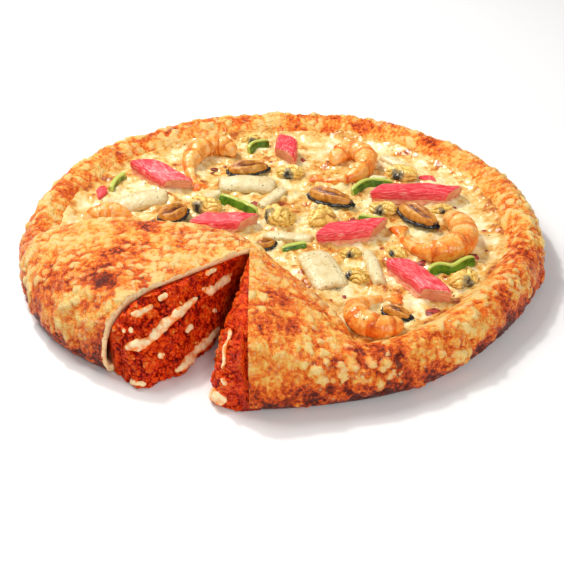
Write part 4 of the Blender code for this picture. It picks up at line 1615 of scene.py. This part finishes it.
@dataclass
class Mussel(Lying):
    """Mussel meat: a plump body with a groove, lying on a dark frilled lip."""

    width: float
    height: float

    def build(self) -> None:
        """Makes the body and the lip.

        Body: across = cos v * s(u) * width / 2, up = sin v * s(u) * height / 2, where s(u) =
        sin(pi u^0.8)^0.6, with a groove along its top and a fold beside it.
        """
        u = np.linspace(0.03, 0.985, 60)[:, None]
        v = full_turn(48)[None]
        size = np.sin(math.pi * u**0.8) ** 0.6
        cos, sin = np.cos(v), np.sin(v)
        above = (sin > 0) * np.sin(math.pi * u)
        wander = 0.10 * np.sin(u * 7 + self.turn)
        groove = bell(cos + 0.32 - wander, 0.17) * above
        fold = bell(cos - 0.12 - wander, 0.16) * above
        across = cos * size * self.width / 2 * 0.92
        up = sin * size * self.height / 2 * (1 - 0.36 * groove + 0.12 * fold) + self.height / 2
        along = (u - 0.5) * self.length * 0.97 * np.ones_like(v)
        grid = self.put(np.stack([along, across, np.broadcast_to(up, across.shape)], -1))
        grid += 0.45 * MM * Noise.smooth(grid, 4 * MM, 7)[..., None] * [0.5, 0.5, 1]
        dark = np.clip(-sin * 1.6 - 0.1, 0, 1) + 0.55 * smooth_step((u - 0.86) / 0.1) + 0.3 * groove
        marks = {
            "edge": dark * np.ones_like(across), "groove": np.clip(groove + 0.4 * fold, 0, 1),
            "across": cos * np.ones_like(u), "along": u * np.ones_like(v),
        }
        place(tube_piece(f"{self.node}_meat", grid, marks=marks), MusselMeat(), self.node)
        place(self.lip(), MusselMeat(), self.node)

    def lip(self) -> bpy.types.Object:
        """The frilled edge: a thin band all round the body's middle, that waves up and down and in and out.

        Returns:
            The new object.
        """
        rings, sides = 160, 12
        t = full_turn(rings)[:, None]
        u = 0.5 + 0.49 * np.cos(t)
        size = np.sin(math.pi * u**0.8) ** 0.6
        side = np.sin(t)
        frill = 0.5 * np.sin(t * 17 + self.turn) + 0.35 * np.sin(t * 29)
        v = full_turn(sides)[None]
        wide = 1.3 + 0.5 * frill + 0.5 * np.clip(-side, 0, 1)
        out = np.cos(v) * wide
        up = np.sin(v) * 0.75 + 0.36 * self.height + 0.45 * frill + 0.5 * np.cos(v) * np.sin(t * 11)
        along = (u - 0.5) * self.length + np.cos(t) * (out * 0.7)
        across = np.sign(side) * np.abs(side) ** 0.25 * size * self.width / 2 * 0.90 + side * out
        grid = self.put(np.stack([along, across, up * np.ones_like(out)], -1))
        grid += 0.3 * MM * Noise.smooth(grid, 2.5 * MM, 9)[..., None]
        quads = grid_quads(rings + 1, sides, True) % (rings * sides)
        marks = {mark: np.full(rings * sides, 0.9) for mark in ("edge", "groove", "across", "along")}
        return mesh_piece(f"{self.node}_lip", grid.reshape(-1, 3), quads, marks=marks)


@dataclass
class Clam(Lying):
    """Clam meat: a lumpy folded body with a frilled skirt along one side."""

    def build(self) -> None:
        """A closed lump in sharp overlapping folds, whose one side spreads into a thin wavy skirt.

        The folds follow the piece's length: depth = |sin(3 v + bends)|^0.5, finely ribbed across.
        """
        u = np.linspace(0.03, 0.97, 64)[:, None]
        v = full_turn(72)[None]
        size = np.sin(math.pi * u) ** 0.5
        cos, sin = np.cos(v), np.sin(v)
        skirt = np.clip(cos, 0, 1) ** 3 * np.ones_like(u)
        frill = np.sin(u * 26 + self.turn) + 0.5 * np.sin(u * 47)
        bends = 1.6 * np.sin(u * 5 + self.turn) + 0.9 * np.sin(u * 11 + 2 * self.turn)
        fold = np.abs(np.sin(v * 3 + bends)) ** 0.5
        ribs = np.sin(u * 64 + 5 * np.sin(v * 2))
        across = cos * size * 0.34 * self.length * (1 + 0.36 * skirt + 0.10 * frill * skirt)
        up = sin * size * 0.25 * self.length * (1 - 0.55 * skirt) + 0.23 * self.length
        up = up - 0.10 * self.length * skirt + 0.045 * self.length * frill * skirt
        along = (u - 0.5) * self.length * np.ones_like(v)
        grid = self.put(np.stack([along, across, up], -1))
        away = unit(grid - grid.mean((0, 1)))
        waves = 1.0 * Noise.smooth(grid, 6 * MM, 31) + 0.5 * Noise.smooth(grid, 2.6 * MM, 32)
        grid = grid + away * (waves + 1.5 * fold - 1.2 + 0.10 * ribs)[..., None] * MM
        grid[..., 2] = np.maximum(grid[..., 2], self.low - 0.6 * MM)
        groove = np.clip(0.85 - 1.2 * fold, 0, 1) + 0.30 * skirt + 0.06 * ribs
        belly = bell(u - 0.42, 0.24) * np.clip(-cos * 0.9 + 0.15, 0, 1)
        marks = {"fold": np.clip(groove, 0, 1), "belly": belly * np.ones_like(groove)}
        place(tube_piece(f"{self.node}_meat", grid, marks=marks), ClamMeat(), self.node)


@dataclass
class Squid(Lying):
    """A piece of squid: an arched plate with soft edges, scored when it is wide."""

    width: float
    arch: float
    thick: float = 3.8
    scored_from: float = 19.0
    score_step: float = 3.4

    def build(self) -> None:
        """Carries a rounded flat section along the piece.

        The plate's middle line is arch * (1 - t^2). A wide piece has shallow crossing cuts on its upper side.
        """
        c, s = directions(full_turn(96)).T
        flat = (np.sign(c) * np.abs(c) ** 0.38)[None]
        thick = np.sign(s) * np.abs(s) ** 0.46
        u = np.linspace(-1, 1, 96)[:, None]
        ends = np.sqrt(np.clip(1 - np.abs(u) ** 16, 0.03, 1))
        across = flat * (1 - 0.12 * np.abs(u) ** 3) * (self.width / 2) * (0.92 + 0.08 * ends)
        up = self.arch * (1 - flat**2) + self.thick / 2 + thick[None] * self.thick / 2 * ends
        up = up - 1.2 * u**2 * self.arch / 3.5
        if self.width > self.scored_from:
            both = (across, u * self.length / 2)
            lines = [bell(np.sin(math.pi * distance / self.score_step), 0.30) for distance in both]
            up = up - 0.42 * np.maximum(*lines) * (s[None] > 0.25)
        along = u * self.length / 2 + 0.9 * np.sin(flat * 2.2 + self.turn) * u**2
        grid = self.put(np.stack([along, across, up], -1))
        wave = 0.55 * Noise.smooth(grid, 8 * MM, 41) + 0.22 * Noise.smooth(grid, 3 * MM, 42)
        grid += (wave * MM)[..., None] * [0.6, 0.6, 1]
        edge = np.clip(np.abs(u) ** 10 + np.abs(flat) ** 14 * 0.8 + np.clip(-s, 0, 1)[None] * 0.5, 0, 1)
        piece = tube_piece(f"{self.node}_flesh", grid, marks={"edge": edge})
        place(piece, SquidFlesh(), self.node)


@dataclass
class CrabStick(Lying):
    """A crab stick cut on the slant, its back finely ridged by its threads."""

    width: float
    height: float

    def build(self) -> None:
        """Carries a rounded square section along the stick, with two sloping ends."""
        outline = [
            (-0.46, 0.0), (-0.5, 0.3), (-0.47, 0.8), (-0.25, 0.98), (0.25, 1.0), (0.47, 0.82), (0.5, 0.3), (0.46, 0),
        ]
        section = smooth_path(outline, 88, closed=True)
        turn = np.arctan2(section[:, 1] - 0.4, section[:, 0])
        ridge = 0.006 * np.cos(turn * 23) + 0.005 * np.cos(turn * 37 + self.turn)
        section = section * (1 + ridge * (section[:, 1] > 0.3))[:, None] * [self.width, self.height]
        u = np.linspace(-1, 1, 72)[:, None]
        ends = np.sqrt(np.clip(1 - np.abs(u) ** 30, 0.02, 1))
        taper = (1 - 0.08 * u**2) * (0.78 + 0.22 * ends)
        half = self.length / 2 - 0.37 * self.width
        middle = self.height * 0.45
        rise = section[None, :, 1]
        along = u * half + 0.75 * section[None, :, 0] + 0.25 * (rise - middle) * np.abs(u) * np.sign(u)
        up = middle + (rise - middle) * taper + 0.5 * np.sin(u * 2.3 + self.turn)
        grid = self.put(np.stack([along, section[None, :, 0] * taper, up], -1))
        wave = 0.55 * Noise.smooth(grid, 10 * MM, 51) + 0.20 * Noise.smooth(grid, 3 * MM, 52)
        grid += (wave * MM)[..., None] * [0.7, 0.7, 1]
        grid[..., 2] = np.maximum(grid[..., 2], self.low - 0.6 * MM)
        cut = np.clip(np.abs(u) ** 40 + smooth_step((0.50 - rise / self.height) / 0.22), 0, 1)
        girth = np.broadcast_to(turn[None] / math.pi, grid.shape[:2])
        marks = {"cut": cut, "across": girth, "along": np.broadcast_to(u, grid.shape[:2])}
        place(tube_piece(f"{self.node}_meat", grid, marks=marks), CrabMeat(), self.node)


@dataclass
class PepperStrip(Topping):
    """A strip of green pepper, a shiny band on edge with a pale cut top."""

    height: float
    centreline: Keys

    def build(self) -> None:
        """Carries a leaning band along the strip, thinner at its ends, with a narrow cut edge on top."""
        path = smooth_path(self.centreline, 70)
        t = np.linspace(-1, 1, 70)
        outline = [
            (-0.7, 0.0), (-1.1, 0.2), (-1.2, 0.8), (-1.0, 0.97), (0.1, 1.0), (0.35, 0.9), (1.0, 0.45), (1.2, 0.1),
        ]
        section = smooth_path(outline, 44, closed=True) * [1.7, self.height]
        ends = np.sqrt(np.clip(1 - np.abs(t) ** 24, 0.05, 1)) * (1 - 0.20 * t**4)
        middle = section.mean(0)
        rings = middle + (section - middle) * ends[:, None, None]
        centre = with_height(path, 0.0) * MM + [0, 0, self.low - 0.2 * MM]
        grid = sweep(centre, np.full(70, MM), rings)
        grid += 0.30 * MM * Noise.smooth(grid, 6 * MM, 61)[..., None]
        upper = smooth_step((section[:, 1] / self.height - 0.84) / 0.08)
        inside = smooth_step((-section[:, 0] / 1.7 - 0.75) / 0.2)
        cut = np.clip(upper[None] * 0.95 + inside[None] * 0.45 + np.abs(t)[:, None] ** 20, 0, 1)
        piece = tube_piece(f"{self.node}_strip", grid, marks={"cut": cut})
        place(piece, GreenPepper(), self.node)


@dataclass
class Toppings:
    """Everything that lies on the cheese, at the places of its solids.

    The tables hold each one's fields after its name, in mm and degrees.
    """

    shrimps: dict[str, tuple[float, Keys]] = field(
        default_factory=lambda: {
            "shrimp_1": (14.0, [(-29, 94), (-38, 100), (-49, 96), (-56, 79), (-53, 61), (-47, 49)]),
            "shrimp_2": (13.0, [(-112, 10), (-103, 14), (-94, 14), (-84, 11), (-76, 6)]),
            "shrimp_3": (13.5, [(34, 80), (43, 90), (54, 84), (53, 68), (42, 58), (30, 58), (20, 63)]),
            "shrimp_4": (15.0, [(97, 5), (104, -11), (101, -28), (88, -36), (77, -29), (70, -15), (68, 0)]),
            "shrimp_5": (13.0, [(60, -104), (51, -108), (41, -103), (38, -92), (43, -82), (53, -76), (64, -77)]),
        }
    )
    mussels: dict[str, tuple[float, ...]] = field(
        default_factory=lambda: {
            "mussel_1": (-19, 72, 8, 27, 14, 10),
            "mussel_2": (-62, 15, 40, 20, 15, 11),
            "mussel_3": (31, 31, -30, 31, 13, 11),
            "mussel_4": (81, 6, -50, 31, 14, 12),
            "mussel_5": (-8, -18, 20, 12, 9, 7),
            "mussel_6": (60, -91, -32, 17, 9, 8),
        }
    )
    clams: dict[str, tuple[float, ...]] = field(
        default_factory=lambda: {
            "clam_1": (-44, 25, -30, 20), "clam_2": (-18, 116, 30, 13), "clam_3": (7, 68, 0, 18),
            "clam_4": (-1, 11, -62, 22), "clam_5": (24, 10, -120, 20), "clam_6": (76, 62, -20, 20),
            "clam_7": (61, 18, -15, 17), "clam_8": (95, 17, 20, 14), "clam_9": (98, -61, 34, 18),
            "clam_10": (39, -30, 10, 13), "clam_11": (41, -53, -60, 15), "clam_12": (65, -30, -45, 13),
        }
    )
    squids: dict[str, tuple[float, ...]] = field(
        default_factory=lambda: {
            "squid_1": (-85, 35, 26, 37, 17, 3.5), "squid_2": (-20, 54, -4, 35, 17, 3.5),
            "squid_3": (-4, 37, 56, 26, 8, 1.0), "squid_4": (5, -10, -12, 28, 8, 1.0),
            "squid_5": (23, -46, -74, 38, 20, 3.0), "squid_6": (51, -45, -82, 34, 8, 2.0),
            "squid_7": (73, 80, -51, 20, 8, 1.5), "squid_8": (-41, 40, 46, 12, 8, 1.0),
            "squid_9": (61, 58, -18, 10, 6, 1.0),
        }
    )
    crab_sticks: dict[str, tuple[float, ...]] = field(
        default_factory=lambda: {
            "crab_stick_1": (-73, 64, -47, 45, 15, 10), "crab_stick_2": (-32, 5, -7, 38, 13, 9),
            "crab_stick_3": (5, 94, -97, 28, 15, 11), "crab_stick_4": (82, 34, -4, 54, 12, 10),
            "crab_stick_5": (41, -9, 6, 42, 14, 10), "crab_stick_6": (73.5, -63, -63, 45, 14, 10),
            "crab_stick_7": (-108, 46, 58, 14, 8, 5), "crab_stick_8": (92, 58, -54, 10, 7, 4),
        }
    )
    peppers: dict[str, tuple[float, Keys]] = field(
        default_factory=lambda: {
            "pepper_1": (6.0, [(-96, 69), (-101, 60), (-103, 49)]),
            "pepper_2": (7.0, [(-19, 98), (-15, 105), (-6, 108)]),
            "pepper_3": (7.0, [(-36, 35), (-25, 27), (-13, 16)]),
            "pepper_4": (5.0, [(1, -25), (8, -22), (15, -20)]),
            "pepper_5": (7.0, [(44, 39), (54, 50), (70, 49)]),
            "pepper_6": (5.0, [(46, 10), (54, 7), (61, 5)]),
            "pepper_7": (7.5, [(80, -53), (86, -49), (93, -51), (100, -45), (107, -41)]),
        }
    )

    def everything(self) -> list[Topping]:
        """Makes one object for each topping.

        Returns:
            The toppings, not built yet.
        """
        made: list[Topping] = [Shrimp(n, *given) for n, given in self.shrimps.items()]
        kinds: list[tuple[type[Lying], dict[str, tuple[float, ...]]]] = [
            (Mussel, self.mussels), (Clam, self.clams), (Squid, self.squids), (CrabStick, self.crab_sticks),
        ]
        made += [kind(n, *given) for kind, table in kinds for n, given in table.items()]
        made += [PepperStrip(n, *given) for n, given in self.peppers.items()]
        return made


@dataclass
class CheeseBed:
    """The melted cheese under the toppings, and the bits of ham in it."""

    form: PizzaForm
    toppings: list[Topping]
    middle: Array = field(default_factory=lambda: np.array([20.0, 30.0]) * MM)
    reach: float = 122 * MM
    beside: float = 12 * MM
    ham_count: int = 150
    seed: int = 4

    def crowding(self, plan: Array) -> Array:
        """How crowded the bed is: 1 under a topping, falling to 0 about 4 mm beside it.

        Args:
            plan: plan points.

        Returns:
            A number for each point.
        """
        near = np.full(plan.shape[:-1], 1.0)
        for topping in self.toppings:
            spots = topping.footprint()
            close = ((plan > spots.min(0) - self.beside) & (plan < spots.max(0) + self.beside)).all(-1)
            across, along = np.moveaxis(plan[close][:, None] - spots, -1, 0)
            near[close] = np.minimum(near[close], np.hypot(across, along).min(1))
        return bell(np.maximum(near - 1.2 * MM, 0), 2.4 * MM)

    def outline(self, angle: Array) -> Array:
        """How far the cheese reaches: up the rim's slope, or just under the pocket's edge.

        Args:
            angle: directions from its middle, in radians.

        Returns:
            A distance for each direction.
        """
        round_rim = np.linspace(-math.pi, math.pi, 720, endpoint=False)
        ragged = 2.2 * Noise.fractal(with_height(directions(round_rim) * 130 * MM, 0.0), 17 * MM, 3, 86)
        foot = self.form.edge(round_rim) - (19.5 + ragged) * MM * self.form.rim_scale(round_rim)
        rim = directions(round_rim) * foot[:, None] - self.middle
        back = smooth_path(np.array(self.form.back_edge) * MM, 400)
        back = back + unit(self.form.pocket_centre - back) * 1.5 * MM - self.middle
        turns = np.degrees(polar(back[[0, -1]])[0]) % 360
        degrees = np.degrees(angle) % 360
        beyond = np.maximum(np.maximum(turns.min() - degrees, degrees - turns.max()), 0)
        return np.minimum(reach_at(angle, rim), reach_at(angle, back) * (1 + 0.03 * beyond))

    def build(self) -> None:
        """Makes the cheese as one grid over the floor, then the ham.

        height = the smooth larger of the bed's level and the rim's slope, plus waves and blisters. It stands up
        round each topping, and its edge sinks into the rim.
        """
        step = 1.05
        angle = full_turn(int(2 * math.pi * self.reach / MM / step))
        share = np.linspace(0.003, 1, int(132 / step))[:, None]
        plan = self.middle + directions(angle) * (self.outline(angle) * share)[..., None]
        flat = with_height(plan, self.form.bed_top)
        near, _, pick = Noise.cells(flat, 7.5 * MM, 81)
        blister = lump(near, 0.6) * (pick > 0.45)
        wide = Noise.fractal(flat, 15 * MM, 3, 82)
        waves = 0.9 * wide + 0.8 * blister + 0.35 * Noise.smooth(flat, 3.2 * MM, 84) + 0.4
        waves = waves + 1.6 * self.crowding(plan)
        slope = self.form.rim_slope(plan) + 0.9 * MM
        level = np.full_like(slope, self.form.bed_top)
        height = smooth_larger(level, slope, 3 * MM) - 0.3 * MM
        on_slope = smooth_step((slope - level) / (4 * MM))
        height = height + waves * (1 - 0.75 * on_slope) * MM
        height = height - 2.4 * MM * smooth_step((share - 0.965) / 0.035)
        grid = with_height(plan, height)
        rise = np.clip(0.25 + 0.55 * blister * (1 - 0.6 * on_slope) + 0.25 * wide, 0, 1)
        under = with_height(plan[-1:], self.form.floor + 0.5 * MM)
        grid = np.concatenate([grid, under])
        marks = {k: np.concatenate([v, v[-1:]]) for k, v in (("rise", rise), ("slope", on_slope))}
        place(tube_piece("cheese", grid, marks=marks), MeltedCheese(), "cheese_bed")
        self.ham()

    def ham(self) -> None:
        """Scatters small rounded bits, half sunk in the cheese, as one piece. Each is a closed lump."""
        rows, sides = 6, 8
        draw = np.random.default_rng(self.seed)
        radius = np.sqrt(draw.uniform(0.02, 1, self.ham_count)) * self.reach
        angle = draw.uniform(0, 2 * math.pi, self.ham_count)
        spots = directions(angle) * radius[:, None]
        spots = spots[(self.form.dome(spots) <= 0) & (self.crowding(spots) < 0.7)]
        count = len(spots)
        u = np.linspace(0.15, math.pi - 0.15, rows)[:, None]
        v = full_turn(sides)[None]
        ball = np.stack([np.sin(u) * np.cos(v), np.sin(u) * np.sin(v), np.cos(u) * np.ones_like(v)], -1)
        wide = 1.0 + 3.6 * draw.uniform(0, 1, (count, 1, 1, 1)) ** 4
        size = wide * draw.uniform(0.7, 1.4, (count, 1, 1, 3)) * [1, 1, 0.42 / wide.max() ** 0.2]
        bits = ball[None] * size * MM
        bits = bits * (1 + 0.30 * draw.uniform(-1, 1, (count, rows, sides, 1)))
        level = np.maximum(self.form.bed_top + 1.0 * MM, self.form.rim_slope(spots) + 0.6 * MM)
        bits += with_height(spots, level)[:, None, None]
        quads = grid_quads(rows, sides, True)[:, ::-1]
        around = rows * sides
        first, last = np.arange(sides), np.arange(around - sides, around)
        caps = np.concatenate([fan(first, around), fan(last, around + 1)[:, [1, 0, 2]]])
        points = np.concatenate([bits.reshape(count, around, 3), bits[:, [0, -1]].mean(2)], 1).reshape(-1, 3)
        shift = (np.arange(count) * (around + 2))[:, None, None]
        piece = mesh_piece("ham_bits", points, (quads + shift).reshape(-1, 4), (caps + shift).reshape(-1, 3))
        place(piece, Ham(), None)


# The studio


@dataclass(frozen=True)
class Lamp:
    """A square soft light that faces the pizza."""

    name: str
    at: tuple[float, float, float]
    size: float
    power: float
    tint: Colour

    def build(self) -> None:
        """Makes the light, turned so that it shines at the origin."""
        data = bpy.data.lights.new(self.name, "AREA")
        data.size, data.energy, data.color = self.size, self.power, self.tint
        light = bpy.data.objects.new(self.name, data)
        yaw = math.atan2(self.at[1], self.at[0]) + math.pi / 2
        pitch = math.acos(self.at[2] / np.linalg.norm(self.at))
        light.location = self.at
        light.rotation_euler = (pitch, 0, yaw)
        bpy.context.scene.collection.objects.link(light)


@dataclass
class Studio:
    """A pale floor, soft lights, and the camera at the photo's angle."""

    elevation: float = 32.595
    distance: float = 0.700
    target: tuple[float, float, float] = (0.000773, -0.029, 0.0)
    roll: float = -1.024
    lens: float = 79.0
    floor_half: float = 3.0
    floor_gap: float = 0.2 * MM
    sky: float = 0.34
    lamps: tuple[Lamp, ...] = (
        Lamp("key", (-0.50, 0.30, 0.90), 0.45, 6.8, (1.0, 0.98, 0.95)),
        Lamp("glint", (-0.34, 0.42, 0.80), 0.07, 4.2, (1.0, 0.98, 0.95)),
        Lamp("fill", (0.20, -0.95, 0.62), 0.18, 3.0, (1.0, 0.99, 0.97)),
        Lamp("low_glint", (0.65, -0.60, 0.50), 0.05, 1.3, (1.0, 0.99, 0.97)),
    )

    def camera(self) -> None:
        """Looks along +Y, down by the elevation, turned about its axis by the roll."""
        e, r = math.radians(self.elevation), math.radians(self.roll)
        back = np.array([0, -math.cos(e), math.sin(e)])
        right = np.array([1.0, 0, 0])
        up = np.cross(back, right)
        x = right * math.cos(r) + up * math.sin(r)
        y = up * math.cos(r) - right * math.sin(r)
        data = bpy.data.cameras.new("camera")
        data.lens, data.sensor_width, data.clip_start = self.lens, 36, 0.01
        camera = bpy.data.objects.new("camera", data)
        at = np.array(self.target) + back * self.distance
        camera.matrix_world = Matrix([[x[k], y[k], back[k], at[k]] for k in range(3)] + [[0, 0, 0, 1]])
        bpy.context.scene.collection.objects.link(camera)
        bpy.context.scene.camera = camera

    def build(self) -> None:
        """Makes the floor, the lights, the sky's even light and the camera."""
        corners = np.array([[-1, -1], [1, -1], [1, 1], [-1, 1]]) * self.floor_half
        floor = mesh_piece("floor", with_height(corners, -self.floor_gap), np.array([[0, 1, 2, 3]]))
        floor.data.materials.append(PaleFloor().material())
        for lamp in self.lamps:
            lamp.build()
        world = bpy.data.worlds.new("studio")
        world.use_nodes = True
        bpy.context.scene.world = world
        sky = world.node_tree.nodes["Background"].inputs
        sky["Color"].default_value = (1, 1, 1, 1)
        sky["Strength"].default_value = self.sky
        bpy.context.scene.view_settings.view_transform = "Standard"
        self.camera()


def main() -> None:
    """Builds every sub-assembly."""
    logging.basicConfig(level=logging.INFO, format="%(name)s %(message)s")
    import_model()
    form = PizzaForm()
    crust = Crust(form)
    crust.build()
    Filling(crust).build()
    toppings = Toppings().everything()
    for topping in toppings:
        topping.build()
    CheeseBed(form, toppings).build()
    Studio().build()


if __name__ == "__main__":
    main()
